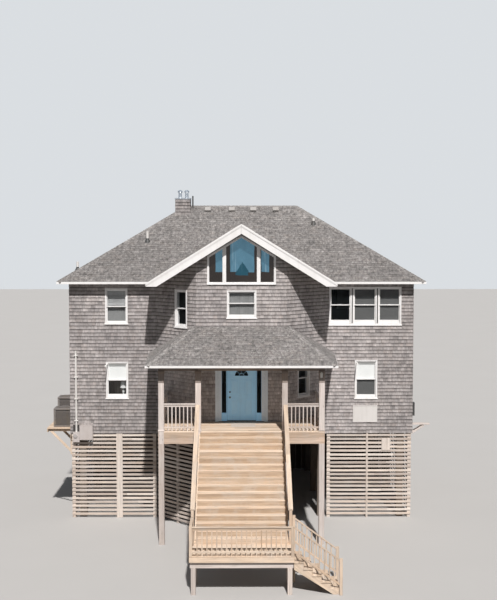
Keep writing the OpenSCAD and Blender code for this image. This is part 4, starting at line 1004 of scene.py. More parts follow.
def window(T, w, look, br=.058, dz=0.0, shift=()):
    cx, z0, ww, hh, n = w
    for b in (tr, ss, gl, gv, sh_w, sh_b, sc, cu, bl):
        b.setT(T)
    x0, x1, z1 = cx - ww / 2, cx + ww / 2, z0 + hh
    k = (.6, .2, .5)
    # casing, head cap, sill
    cw = .048
    bx(tr, x0, x0 + cw, -.025, .002, z0, z1 - cw, "z", .004, col=tone(.6, .12))
    bx(tr, x1 - cw, x1, -.025, .002, z0, z1 - cw, "z", .004, col=tone(.6, .12))
    bx(tr, x0, x1, -.025, .002, z1 - cw, z1, "x", .004, col=tone(.6, .12))
    bx(tr, x0 + cw, x1 - cw, -.022, .002, z0, z0 + cw, "x", .004, col=tone(.6, .12))
    bx(tr, x0 - .008, x1 + .008, -.034, .0, z1 - .002, z1 + .006, "x", .002, col=k)
    prism(tr, [(-.045, z0 - .035), (.0, z0 - .035), (.0, z0 + .004), (-.045, z0 - .004)], x1 + .025, x0 - .025, "x", col=k)
    # jamb liner
    bx(tr, x0 + .045, x0 + .052, .0, .158, z0 + .045, z1 - .045, "z", .001, col=k)
    bx(tr, x1 - .052, x1 - .045, .0, .158, z0 + .045, z1 - .045, "z", .001, col=k)
    bx(tr, x0 + .05, x1 - .05, .0, .158, z1 - .052, z1 - .045, "x", .001, col=k)
    prism(tr, [(.0, z0 + .040), (.158, z0 + .040), (.158, z0 + .056), (.0, z0 + .046)], x1 - .05, x0 + .05, "x", col=k)
    # inner stool
    bx(tr, x0 + .02, x1 - .02, .16, .21, z0 + .045, z0 + .07, "x", .004, col=k)
    sw_ = (ww - .14) / n
    zm = (z0 + z1) / 2 + dz
    c, d = z0 + .052, z1 - .052
    mid = [x0 + .07 + sw_ * i + (shift[i - 1] if shift else 0) for i in range(1, n)]
    for i in range(n):
        a = x0 + .052 if i == 0 else mid[i - 1] + .068
        b = x1 - .052 if i == n - 1 else mid[i] - .068
        if i > 0:
            m = mid[i - 1]
            bx(tr, m - .068, m - .019, -.025, .11, z0 + .05, z1 - .05, "z", .003, col=tone(.6, .12))
            bx(tr, m + .019, m + .068, -.025, .11, z0 + .05, z1 - .05, "z", .003, col=tone(.6, .12))
            # dark strip deep in each mullion groove: painted shade in the slit
            bx(gv, m - .019, m + .019, .012, .10, z0 + .05, z1 - .05, "z", .002)
        st = .032
        # upper sash in the outer track
        bx(ss, a, a + st, .015, .050, zm - .0175, d, "z", .004, col=k)
        bx(ss, b - st, b, .015, .050, zm - .0175, d, "z", .004, col=k)
        bx(ss, a + st, b - st, .015, .050, d - .034, d, "x", .004, col=k)
        bx(ss, a + st, b - st, .015, .050, zm - .0175, zm + .0175, "x", .003, col=k)
        # lower sash in the inner track
        bx(ss, a, a + st, .052, .087, c, zm + .0175, "z", .004, col=k)
        bx(ss, b - st, b, .052, .087, c, zm + .0175, "z", .004, col=k)
        bx(ss, a + st, b - st, .052, .087, c, c + br, "x", .004, col=k)
        bx(ss, a + st, b - st, .052, .087, zm - .0175, zm + .0175, "x", .003, col=k)
        # parting stops and lock
        for q in (a, b - .008):
            bx(tr, q, q + .008, .004, .015, c, d, "z", .001, col=k)
        mx_ = (a + b) / 2
        bx(ss, mx_ - .03, mx_ + .03, .06, .08, zm + .0175, zm + .03, "x", .004, col=k)
        pane(gl, a + st - .004, b - st + .004, zm + .012, d - .030, .030)
        pane(gl, a + st - .004, b - st + .004, c + br - .004, zm - .012, .067)
        lk = look[i] if isinstance(look, (list, tuple)) else look
        if lk == "shade":
            pane(sh_b, a, b, c - .01, d, .100, .003)
            bx(sh_b, a, b, .090, .115, c + .0, c + .022, "x", .006, col=k)
        elif lk == "half":
            pane(sh_w, a, b, zm - .01, d - .02, .093, .003)
            bx(sh_w, a, b, .088, .108, zm - .035, zm - .01, "x", .006, col=k)
            lathe(sh_w, (a, .118, d - .022), [(.018, 0), (.018, b - a)], 12, "x", col=k)
        elif lk == "blinds":
            blinds(bl, a + .005, b - .005, zm - .03, d, .112)
            vanes(cu, a, b, c, zm - .03, .150)
        elif lk == "vanes":
            vanes(cu, a, b, c, d, .125)
        if lk == "screen":
            pane(sc, a + .012, b - .012, c + br - .012, d - .02, .0905, .0015)
        elif lk == "half" and br < .09:
            pane(sc, a + .012, b - .012, c + br - .012, zm - .04, .0905, .0015)


window(W["front"], LEFT_W[0], "blinds", br=.040, dz=-.02)
window(W["front"], LEFT_W[1], "half", br=.092)
window(W["front"], RIGHT_W[0], ["none", "screen", "screen"], br=.120, dz=.033, shift=(-.057, .028))
window(W["front"], RIGHT_W[1], "half", br=.078)
for w in BACK_W:
    window(W["back"], w, "shade")
for w in SIDE_W:
    window(W["left"], w, "shade")
    window(W["right"], w, "shade")
window(W["bay"], SMALL_W, "vanes", dz=.026)
window(W["fl"], FL_W, "none")
window(W["fr"], FR_W, "none")

tr.obj("window_casings", M["trim"], ["window_frames"], slot="white_trim")
ss.obj("window_sashes", M["sash"], slot="white_trim")
gv.obj("mullion_groove_painted_shade", M["dark"], slot="white_trim")
sh_w.obj("roller_shades", M["shade"])
sh_b.obj("plain_shades", M["shade_back"])
sc.obj("dim_shades", M["screen"])
cu.obj("upright_vanes", M["curtain"])
bl.obj("slatted_blinds", M["blind"])

# gable window
gw = Bag().setT(W["bay"])
GH, G0, GS, GP = 1.195, 8.690, 9.660, 10.386
slp = (GP - GS) / GH
kk = math.sqrt(1 + slp * slp)


def ring(bag, d0, d1, y0, y1):
    """Mitred ring between the window outline inset by d0 and by d1."""
    o = lambda d: [(-GH + d, G0 + d), (GH - d, G0 + d), (GH - d, GS - d * kk + slp * d), (0, GP - d * kk), (-GH + d, GS - d * kk + slp * d)]
    A, B = o(d0), o(d1)
    for i in range(5):
        j = (i + 1) % 5
        p = [A[i], A[j], B[j], B[i]]
        v = [(q[0], y0, q[1]) for q in p] + [(q[0], y1, q[1]) for q in p]
        L = math.hypot(A[i][0] - A[j][0], A[i][1] - A[j][1])
        fs = [(0, 1, 2, 3), (7, 6, 5, 4), (1, 0, 4, 5), (2, 1, 5, 6), (3, 2, 6, 7), (0, 3, 7, 4)]
        uv = []
        lc = [(0, 0), (L, 0), (L, d1 - d0), (0, d1 - d0)] * 2
        for f in fs:
            uv += [(lc[q][0] + (y1 - y0) * (q > 3), lc[q][1] + (y1 - y0) * (q > 3)) for q in f]
        bag.add(v, fs, uv, tone(.6, .1))


ring(gw, 0, .052, -.025, .002)
ring(gw, .045, .052, .002, .11)
ring(gw, -.006, .008, -.032, -.002)
ring(gw, .052, .066, .03, .055)
bx(gw, -GH - .01, GH + .01, -.045, 0, G0 - .022, G0 + .004, "x", .004, col=ONE)
for s in (-1, 1):
    x = s * .6
    zt = GP - .04 - slp * abs(x)
    bx(gw, x - .064, x + .064, -.016, .06, G0 + .05, zt, "z", .005, col=ONE)
    bx(gw, x - .028, x + .028, -.024, -.01, G0 + .07, zt - .02, "z", .004, col=ONE)
gw.obj("gable_window_trim", M["trim"], ["gable_window_frame"], slot="white_trim")

gg = Bag().setT(W["bay"])
top = lambda x, d=.060: GP - d * kk - slp * abs(x)
for a, b in ((-1.136, -.655), (.655, 1.136)):
    sheet(gg, [(a, .045, G0 + .060), (b, .045, G0 + .060), (b, .045, top(b)), (a, .045, top(a))], .005, col=(.5, .5, .5))
sheet(gg, [(-.545, .045, G0 + .060), (.545, .045, G0 + .060), (.545, .045, top(.545)), (0, .045, top(0)), (-.545, .045, top(.545))], .005, col=(.5, .5, .5))

# ------------------------------------------------------------------ porch
pf_ = Bag()
y = -7.50
while y < -4.10:
    y1 = min(y + .137, -4.055)
    if y1 <= -5.60:
        xs = sorted([-2.78, rnd.uniform(-1.2, 1.2), 2.78])
        for a, b in zip(xs, xs[1:]):
            bx(pf_, a + .001, b - .001, y, y1, 3.812, 3.850, "x", .004, n=3, warp=.0008)
    else:
        e = max(1.58, 1.58 + (y + 5.60)) - .02
        if y < -5.60:
            e = 1.50
        for s in (-1, 1):
            if e < 2.76:
                bx(pf_, min(s * e, s * 2.78), max(s * e, s * 2.78), y, y1, 3.812, 3.850, "x", .004)
    y += .142
prb = Bag()
for z0, z1 in ((3.625, 3.811), (3.43, 3.620)):
    for a, b in ((-2.78, -.4), (-.397, 2.78)):
        bx(prb, a, b, -7.50, -7.455, z0, z1, "x", .004, n=3, warp=.001)
prb.obj("porch_rim_boards", M["rim"], slot="deck_wood")
for s in (-1, 1):
    bx(pf_, min(s * 2.735, s * 2.78), max(s * 2.735, s * 2.78), -7.455, -4.43, 3.52, 3.811, "y", .004)
for x in (-2.1, -.9, -.3, .3, .9, 2.1, -1.5, 1.5):
    bx(pf_, x - .02, x + .02, -7.455, -5.62 if abs(x) < 1.58 else -5.62 + abs(x) - 1.58, 3.62, 3.811, "y", .003)
pf_.obj("porch_boards", M["deck"], ["porch_floor"], slot="deck_wood")

pp, ph_ = Bag(), Bag()
for x in (-2.685, -1.45, 1.45, 2.685):
    bx(pp, x - .095, x + .095, -7.50, -7.31, 0.0, 3.425 if abs(x) < 2 else 3.425, "z", .010, n=5, warp=.0012)
    bx(pp, x - .095, x + .095, -7.50, -7.31, 3.425, 5.478, "z", .010, n=5, warp=.0012)
    # post heads from 5.478 up take the darker post copy: painted shade below the porch roof
    bx(ph_, x - .095, x + .095, -7.50, -7.31, 5.478, 5.88, "z", .010, n=2, warp=.0008)
    # trim blocks at the beam, skirting strips at the floor
    for z0, z1, e in ((5.80, 5.872, .012), (3.852, 3.90, .010)):
        bx(ph_ if z0 > 5 else pp, x - .095 - e, x + .095 + e, -7.50 - e, -7.31 + e, z0, z1, "x", .005)
    for q in (-.05, .05):
        lathe(pp, (x + q, -7.503, 3.72), [(.012, 0), (.012, .006), (.007, .012)], 10, "y", col=(.2, 0, .5))
pp.obj("porch_post_timbers", M["post"], ["porch_posts"], slot="post_wood")
ph_.obj("porch_post_heads", M["post_high"], slot="post_wood")

pb = Bag()
for a, b in ((-2.78, -1.45), (-1.447, 1.45), (1.453, 2.78)):
    for y0 in (-7.455, -7.403):
        bx(pb, a, b, y0, y0 + .048, 5.881, 6.03, "x", .004, n=3, warp=.001)
for s in (-1, 1):
    for k in (0, 1):
        a = 2.635 + k * .074
        bx(pb, min(s * a, s * (a + .070)), max(s * a, s * (a + .070)), -7.352, -4.43 if k == 0 else -4.36, 5.881, 6.02, "y", .004)
# open rafters under the porch roof
for i in range(13):
    x = -2.4 + i * .4
    if abs(x) < 1.56:
        board(pb, (x, -7.40, 5.98 + .475 * .5 - .06), (x, -5.64, 5.98 + .475 * 2.26 - .06), .038, .09, (0, 0, 1), .003)
pb.obj("porch_beam_timbers", M["post_high"], ["porch_beam"], slot="post_wood")

prl = Bag()


def panel(bag, ax, a, b, c, z, h, n):
    """Rail panel along x or y between a and b, centred on c."""
    def q(u0, u1, w, z0, z1, **k):
        if ax == "x":
            bx(bag, u0, u1, c - w, c + w, z0, z1, **k)
        else:
            bx(bag, c - w, c + w, u0, u1, z0, z1, **k)
    q(a, b, .045, z + h - .038, z + h, g=ax, ch=.005, n=3, warp=.0008)
    q(a, b, .020, z + h - .110, z + h - .039, g=ax, ch=.003)
    q(a, b, .020, z + .09, z + .148, g=ax, ch=.003)
    for i in range(1, n + 1):
        m = a + (b - a) * i / (n + 1)
        w = .0175
        d = rnd.uniform(-.002, .002)
        if ax == "x":
            bx(bag, m - w + d, m + w + d, c - w - .0008, c + w + .0008, z + .002, z + h - .038, "z", .002)
        else:
            bx(bag, c - w - .0008, c + w + .0008, m - w + d, m + w + d, z + .002, z + h - .038, "z", .002)


for s in (-1, 1):
    a, b = sorted((s * 1.545, s * 2.59))
    panel(prl, "x", a, b, -7.405, 3.85, .925, 7)
    panel(prl, "y", -7.31, -4.52, s * 2.685, 3.85, .925, 20)
prl.obj("porch_railing", M["post"], ["porch_rails"], slot="post_wood")

# ------------------------------------------------------------------ stairs
R1 = (3.85 - 1.15) / 16
ut, us, ur = Bag(), Bag(), Bag()
for k in range(1, 16):
    y1 = -7.50 - .25 * (k - 1)
    z = 3.85 - R1 * k
    j = rnd.uniform(-.002, .002)
    bx(ut, -1.38 + abs(j), 1.38 - abs(j), y1 - .272, y1 - .139, z - .038, z + rnd.uniform(-.001, .001), "x", .006, n=4, warp=.0012, col=tone(.62, .22))
    bx(ut, -1.38 + abs(j), 1.38, y1 - .134, y1 - .001, z - .038, z + rnd.uniform(-.001, .001), "x", .005, n=4, warp=.0012, col=tone(.6, .25))
    # risers take the dark end of the tone range, here and for the lowest riser below: painted shade at each step
    bx(ut, -1.378, 1.378, y1 - .020, y1 - .001, z + .001, z + R1 - .039, "x", .002, n=2, warp=.0006, col=tone(.1, .15))
bx(ut, -1.378, 1.378, -11.27, -11.251, 1.151, 1.15 + R1 - .039, "x", .002, col=tone(.35, .2))
for k in range(1, 16):           # nail heads
    y1 = -7.50 - .25 * (k - 1)
    z = 3.85 - R1 * k
    for x in (-1.33, -.46, .46, 1.33):
        for d in (.235, .175, .10, .04):
            lathe(ut, (x + rnd.uniform(-.012, .012), y1 - d, z), [(.0045, 0), (.004, .0012)], 6, col=(.0, .0, .5))
ut.obj("upper_stair_boards", M["deck"], ["upper_treads"], slot="deck_wood")

slope = R1 / .25
ang = math.atan(slope)
for s in (-1, 1):
    x0 = 1.38 if s > 0 else -1.425
    prism(us, [(-7.50, 3.765), (-11.27, 1.15 + R1 - .085 - slope * .02), (-11.27, 1.15), (-11.25, 1.15), (-11.25, .98), (-7.50, 3.51)],
          x0, x0 + .045, "x", rot=ang, col=tone(.5, .2))
for x in (-.46, .46):
    pts = [(-7.50, 3.51)]
    for i in range(1, 31):
        k = math.ceil(i / 2)
        pts.append((-7.50 - .25 * (k - 1 if i % 2 else k), 3.85 - R1 * k - .038))
    pts.append((-11.25, .98))
    prism(us, pts, x - .022, x + .022, "x", rot=ang, col=tone(.4, .2))
us.obj("upper_stair_stringers", M["deck"], ["upper_stringers"], slot="deck_wood")

Y0, Y1 = -7.50, -11.295
ZA = 3.85 + .925 - .06
zr = lambda y: ZA + slope * (y - Y0)
for s in (-1, 1):
    xc = s * 1.470
    mid = (Y0 + Y1) / 2
    for a, b in ((Y0, mid - .001), (mid + .001, Y1)):
        board(ur, (xc, a, zr(a) + .019), (xc, b, zr(b) + .019), .14, .036, (0, 0, 1), .006, n=3, warp=.001, col=tone(.62, .15))
    board(ur, (xc, Y0, zr(Y0) - .06), (xc, Y1, zr(Y1) - .06), .038, .085, (0, 0, 1), .003, col=tone(.5, .15))
    board(ur, (xc, Y0, zr(Y0) - .80), (xc, Y1, zr(Y1) - .80), .040, .080, (0, 0, 1), .003, n=3, warp=.001)
    for i in range(1, 27):
        y = Y0 + (Y1 - Y0) * i / 27
        bx(ur, xc - .0175, xc + .0175, y - .0185, y + .0185, zr(y) - .79 + rnd.uniform(-.006, .002), zr(y) + .005, "z", .002)
    for t in (.25, .62):
        y = Y0 + (Y1 - Y0) * t
        bx(ur, xc - .045, xc + .045, y - .045, y + .045, zr(y) - 1.05, zr(y) + .005, "z", .005, n=3, warp=.001)
    bx(ur, xc - .045, xc + .045, Y1 - .045, Y1 + .045, 1.15, zr(Y1) + .05, "z", .006, n=3, warp=.001)
    bx(ur, xc - .055, xc + .055, Y1 - .054, Y1 + .055, zr(Y1) + .045, zr(Y1) + .065, "x", .006)
ur.obj("upper_stair_railing", M["rail"], ["upper_stair_rails"], slot="deck_wood")

# landing
ld, lp_, lr = Bag(), Bag(), Bag()
for i in range(9):
    a = -12.498 + i * .139
    bx(ld, -1.52, 1.52, a, a + .1345, 1.112, 1.150, "x", .005, n=4, warp=.001, col=tone(.58, .25))
for y in (-12.497, -11.29):
    bx(ld, -1.52, 1.52, y, y + .04, .962, 1.111, "x", .004, n=3, warp=.001)
for s in (-1, 1):
    bx(ld, min(s * 1.48, s * 1.52), max(s * 1.48, s * 1.52), -12.46, -11.29, .962, 1.111, "y", .004)
for x in (-.9, -.3, .3, .9):
    bx(ld, x - .02, x + .02, -12.46, -11.29, .962, 1.111, "y", .003)
ld.obj("landing_boards", M["deck"], ["landing_deck"], slot="deck_wood")
for s in (-1, 1):
    for y in (-12.38, -11.37):
        bx(lp_, s * 1.40 - .07, s * 1.40 + .07, y - .07, y + .07, 0, .78, "z", .008, n=3, warp=.001)
for y in (-12.38, -11.37):
    bx(lp_, -1.50, 1.50, y - .04, y - .002, .782, .960, "x", .004)
    bx(lp_, -1.50, 1.50, y + .002, y + .04, .782, .960, "x", .004)
lp_.obj("landing_timbers", M["post"], ["landing_posts"], slot="post_wood")
for x in (-1.52, 1.43):
    bx(lr, x, x + .09, -12.50, -12.41, 1.15, 2.01, "z", .006, n=3, warp=.001)
bx(lr, -1.52, -1.43, -11.49, -11.40, 1.15, 2.01, "z", .006, n=3, warp=.001)
panel(lr, "x", -1.43, 1.43, -12.455, 1.15, .86, 19)
panel(lr, "y", -12.41, -11.49, -1.475, 1.15, .86, 5)
lr.obj("landing_railing", M["rail"], ["landing_rail"], slot="deck_wood")

# lower flight
lt, ls, lw = Bag(), Bag(), Bag()
R2 = 1.15 / 6
s2l = R2 / .26
for k in range(1, 6):
    x0 = 1.52 + .26 * (k - 1)
    z = 1.15 - R2 * k
    ya, yb_ = (-12.408 if k == 5 else -12.434), (-11.342 if k in (1, 5) else -11.316)
    bx(lt, x0 + .001, x0 + .138, ya, yb_, z - .038, z, "y", .005, n=3, warp=.001, col=tone(.58, .2))
    bx(lt, x0 + .143, x0 + .281, ya, yb_, z - .038, z, "y", .006, n=3, warp=.001, col=tone(.58, .2))
    # risers take the dark end of the tone range: painted shade at each step
    bx(lt, x0 + .001, x0 + .020, -12.406, -11.344, z + .001, z + R2 - .039, "y", .002, col=tone(.2, .2))
lt.obj("lower_stair_boards", M["deck"], ["lower_treads"], slot="deck_wood")
LX = 1.52 + 5 * .26
for y in (-12.41, -11.38):
    sp_ = []
    for i in range(10):
        k = i // 2 + 1
        sp_.append((1.52 + .26 * (k - 1 if i % 2 == 0 else k), 1.15 - R2 * k - .039))
    prism(ls, sp_ + [(LX, 0), (LX - .16, 0), (1.52, .73)], y, y + .04, "y", rot=-math.atan(s2l), col=tone(.5, .2))
ls.obj("lower_stair_stringers", M["deck"], ["lower_stringers"], slot="deck_wood")
for q, y0 in ((0, -12.50), (1, -11.34)):
    yc = y0 + .045
    za, x1 = 2.01, LX + .10
    zl = lambda x: za - s2l * (x - 1.52)
    board(lw, (1.52, yc, zl(1.52) - .02), (x1 - .09, yc, zl(x1 - .09) - .02), .09, .036, (0, 0, 1), .005, col=tone(.6, .15))
    board(lw, (1.52, yc, zl(1.52) - .73), (x1 - .09, yc, zl(x1 - .09) - .73), .038, .06, (0, 0, 1), .003)
    for i in range(1, 9):
        x = 1.52 + (x1 - .09 - 1.52) * i / 9
        bx(lw, x - .0175, x + .0175, yc - .0185, yc + .0185, zl(x) - .73, zl(x) - .03, "z", .002)
    bx(lw, x1 - .09, x1, y0, y0 + .09, 0, zl(x1 - .09) + .03, "z", .006, n=3, warp=.001)
    if q:
        bx(lw, 1.52, 1.61, y0, y0 + .09, 0, za + .02, "z", .006, n=3, warp=.001)
lw.obj("lower_stair_railing", M["rail"], ["lower_stair_rails"], slot="deck_wood")

# ------------------------------------------------------------------ skirts
PITCH, SH = .146, .082


def slats(bag, T, x0, x1, posts, gap_rows=()):
    bag.setT(T)
    for i in range(21):
        z = 3.10 - i * PITCH
        x = x0
        while x < x1 - 1e-4:
            w = rnd.uniform(1.6, 3.2)
            e = x1 if x1 - (x + w) < .6 else x + w
            j = rnd.uniform(-.0035, .0035)
            bx(bag, x + .001, e - .001, .020 + rnd.uniform(0, .002), .042, z - SH + j, z + j + rnd.uniform(-.002, .002), "x", .003, n=3, warp=.0015, col=tone(.52, .3))
            x = e
    for p in posts:
        bx(bag, p - .06, p + .06, .043, .112, 0, 3.135, "z", .004, n=3, warp=.001)


sf = Bag()
slats(sf, W["front"], -6.24, -3.13, [-6.17, -3.20])
bx(sf, -4.602, -4.376, .0, .112, 0, 3.135, "z", .006, n=5, warp=.001, col=(.75, .1, .5))
slats(sf, W["front"], 3.13, 6.24, [3.20, 6.17])
bx(sf, 4.58, 4.65, .0, .112, 0, 3.135, "z", .005, n=5, warp=.001, col=(.6, .2, .5))
bx(sf, 5.15, 5.47, .004, .019, 2.50, 2.94, "z", .003, col=(.8, .1, .5))
sf.obj("front_skirt_slats", M["slat"], ["skirt_front"], slot="slat_wood")
sb = Bag()
slats(sb, W["fl"], .04, 2.15, [.11, 1.08, 2.08])
slats(sb, W["bay"], -1.54, 1.54, [-1.4, 0, 1.4])
sb.obj("bay_skirt_slats", M["slat"], ["skirt_bay"], slot="slat_wood")
s_ = Bag()
for k in ("left", "right"):
    slats(s_, W[k], -3.87, 3.87, [-3.8, -1.3, 1.3, 3.8])
s_.obj("side_skirt_slats", M["slat"], ["skirt_sides"], slot="slat_wood")
sk = Bag()
slats(sk, W["back"], -6.24, 6.24, [-6.17, -3, 0, 3, 6.17])
sk.obj("back_skirt_slats", M["slat"], ["skirt_back"], slot="slat_wood")
# upright lining boards behind the slats of the closed back: they block light, and their near-black tone is painted
# shade under the house
lb = Bag().setT(W["back"])
x = -6.10
while x < 6.08:
    e = min(x + .243, 6.10)
    bx(lb, x + .001, e - .002, .046, .066, .004, 3.125, "z", .003, n=2, warp=.001, col=tone(.5, .3))
    x += .246
lb.obj("back_skirt_lining", M["lining"], slot="pile_wood")

pl = Bag()
for x in (-5.85, -2.925, 0, 2.925, 5.85):
    for y in (-3.75, 0, 3.75):
        bx(pl, x - .125, x + .125, y - .125, y + .125, 0, 3.20, "z", .012, n=4, warp=.003)
for x in (-1.35, 1.35):
    bx(pl, x - .125, x + .125, -5.35, -5.10, 0, 3.55, "z", .012, n=4, warp=.003)
pl.obj("pile_timbers", M["pile"], ["foundation_piles"], slot="pile_wood")
fb = Bag()
for y in (-3.75, 0, 3.75):
    for a, b in ((-6.11, -2.925), (-2.923, 2.923), (2.925, 6.11)):
        for k in (-.10, -.032, .036):
            bx(fb, a, b, y + k, y + k + .064, 3.202, 3.548, "x", .005)
fb.obj("floor_girders", M["pile"], ["floor_beams"], slot="pile_wood")

# ------------------------------------------------------------------ front door unit
df = Bag().setT(W["bay"])
dp, sl_g = Bag().setT(W["bay"]), Bag().setT(W["bay"])
for s in (-1, 1):
    a = lambda u, v: (min(s * u, s * v), max(s * u, s * v))
    for q_, u, v, p in ((df, .70, .825, .022), (df, .827, .925, .027)):
        x0, x1 = a(u, v)
        bx(q_, x0, x1, -p, .002, 3.85, 5.898, "z", .004, col=tone(.6, .1))
    x0, x1 = a(.70, .80)
    bx(dp, x0, x1, .0, .13, 3.85, 5.95, "z", .002, col=ONE)
    x0, x1 = a(.512, .532)
    bx(dp, x0, x1, -.018, .13, 3.85, 5.90, "z", .004, col=ONE)
    # side light: sash strips, sill and the panel under it
    x0, x1 = a(.532, .70)
    for p, q in ((x0, x0 + .006), (x1 - .006, x1)):
        bx(dp, p, q, .030, .075, 4.14, 5.868, "z", .001, col=ONE)
    for z in (4.14, 5.862):
        bx(dp, x0, x1, .030, .075, z, z + .006, "x", .001, col=ONE)
    bx(dp, x0, x1, -.012, .13, 4.118, 4.142, "x", .003, col=ONE)
    bx(df, x0, x1, .0, .13, 5.868, 5.95, "x", .003, col=ONE)
    bx(dp, x0 + .001, x1 - .001, .022, .09, 3.852, 4.118, "z", .004, col=ONE)
    bx(dp, x0 + .026, x1 - .026, .010, .03, 3.89, 4.085, "z", .010, col=ONE)
    sheet(sl_g, [(x0 + .003, .052, 4.145), (x1 - .003, .052, 4.145), (x1 - .003, .052, 5.863), (x0 + .003, .052, 5.863)], .005, col=(.5, .5, .5))
bx(df, -.80, .80, .0, .13, 5.900, 5.95, "x", .003, col=ONE)
bx(df, -.925, .925, -.028, .002, 5.900, 6.035, "x", .004, col=tone(.6, .1))
bx(df, -.945, .945, -.042, .0, 6.028, 6.052, "x", .005, col=ONE)
bx(df, -.532, .532, -.014, .03, 5.895, 5.915, "x", .003, col=ONE)
df.obj("door_casing_boards", M["casing"], ["door_frame"], slot="door_casing")
dp.obj("side_light_panels", M["door"], slot="door_paint")
th = Bag().setT(W["bay"])
prism(th, [(-.075, 3.851), (.13, 3.851), (.13, 3.861), (-.02, 3.861), (-.075, 3.854)], -.80, .80, "x", col=(.1, .6, .5))
th.obj("door_sill", M["pile"], slot="pile_wood")

# mouldings and raised fields on the door slab
dm = Bag().setT(W["bay"])
for cx in (-.245, .245):
    for z0, z1 in ((4.04, 4.65), (4.78, 5.33)):
        a, b = cx - .165, cx + .165
        for (p, q) in (((a, z0 + .011), (b, z0 + .011)), ((a, z1 - .011), (b, z1 - .011))):
            board(dm, (p[0], .0505, p[1]), (q[0], .0505, q[1]), .022, .014, (0, -1, 0), .005, col=ONE)
        for x in (a + .011, b - .011):
            board(dm, (x, .0505, z0 + .022), (x, .0505, z1 - .022), .022, .014, (0, -1, 0), .005, col=ONE)
        # raised field with sloping edges
        o = [(a + .03, z0 + .03), (b - .03, z0 + .03), (b - .03, z1 - .03), (a + .03, z1 - .03)]
        i_ = [(a + .065, z0 + .065), (b - .065, z0 + .065), (b - .065, z1 - .065), (a + .065, z1 - .065)]
        v = [(p[0], .0585, p[1]) for p in o] + [(p[0], .049, p[1]) for p in i_]
        fs = [(4, 5, 6, 7)] + [(k, (k + 1) % 4, 4 + (k + 1) % 4, 4 + k) for k in range(4)]
        uv = [(v[k][2], v[k][0]) for f in fs for k in f]
        dm.add(v, fs, uv, ONE)
# fanlight ring and bars
N_ = 28
for r0, r1, y0, y1 in ((.232, .262, .040, .052), (.078, .092, .052, .060)):
    v, fs, uv = [], [], []
    for i in range(N_ + 1):
        t = math.pi * i / N_
        for r, yy in ((r0, y0), (r1, y0), (r1, y1), (r0, y1)):
            v.append((r * math.cos(t), yy, 5.454 + r * math.sin(t)))
    for i in range(N_):
        for k in range(4):
            fs.append((i * 4 + k, (i + 1) * 4 + k, (i + 1) * 4 + (k + 1) % 4, i * 4 + (k + 1) % 4))
            uv += [(i * .02, k * .02), (i * .02 + .02, k * .02), (i * .02 + .02, k * .02 + .02), (i * .02, k * .02 + .02)]
    dm.add(v, fs, uv, ONE)
for t in (45, 90, 135):
    c, s = math.cos(math.radians(t)), math.sin(math.radians(t))
    board(dm, (.088 * c, .056, 5.454 + .088 * s), (.236 * c, .056, 5.454 + .236 * s), .010, .008, (0, -1, 0), .002, col=ONE)
board(dm, (-.262, .046, 5.448), (.262, .046, 5.448), .022, .014, (0, -1, 0), .004, col=ONE)
dm.obj("door_mouldings", M["door"], body="door", slot="door_paint")
sw2 = Bag().setT(W["bay"])
bx(sw2, -.50, .50, .047, .0515, 3.866, 3.886, "x", .002, col=ONE)
sw2.obj("door_sweep", M["nickel"], body="door", slot="hardware_metal")

hw_ = Bag().setT(W["bay"])
for y0, sg in ((.05, 1), (.095, -1)):
    def turned(z, prof, x=-.41):
        pr_ = [(r, h * sg) for r, h in prof]
        lathe(hw_, (x, y0, z), pr_, 28, "y", col=ONE)
    turned(4.694, [(.034, 0), (.034, .004), (.030, .008), (.014, .011), (.0105, .020), (.0105, .030), (.020, .034), (.027, .041), (.0285, .049), (.026, .056), (.018, .0598), (.006, .060)])
    turned(4.883, [(.031, 0), (.031, .006), (.028, .012), (.020, .0155), (.019, .018), (.006, .018)])
hw_.obj("door_knob_and_lock", M["nickel"], ["door_hardware"], body="door", slot="hardware_metal", smooth=True)
hg = Bag().setT(W["bay"])
for z in (4.10, 4.88, 5.66):
    lathe(hg, (.5155, .106, z), [(.0055, -.05), (.0055, .05), (.004, .054)], 12, "z", col=ONE)
hg.obj("door_hinges", M["nickel"], body="house", slot="hardware_metal")

# ------------------------------------------------------------------ fittings at the left side
ap = Bag()
y = -3.85
while y < -.95:
    y1 = min(y + .137, -.90)
    bx(ap, -7.174, -6.275, y, y1, 3.262, 3.300, "x", .004, n=2, warp=.001)
    y += .142
bx(ap, -7.174, -7.131, -3.85, -.90, 3.142, 3.261, "y", .004)
for y in (-3.75, -2.40, -1.0):
    bx(ap, -7.129, -6.29, y - .02, y + .02, 3.162, 3.260, "x", .003)
    board(ap, (-7.04, y, 3.175), (-6.30, y, 2.42), .038, .085, (0, 0, 1), .004)
    bx(ap, -6.33, -6.27, y - .02, y + .02, 2.30, 3.16, "z", .004)
ap.obj("cooler_shelf_boards", M["deck"], ["ac_platform"], slot="deck_wood")

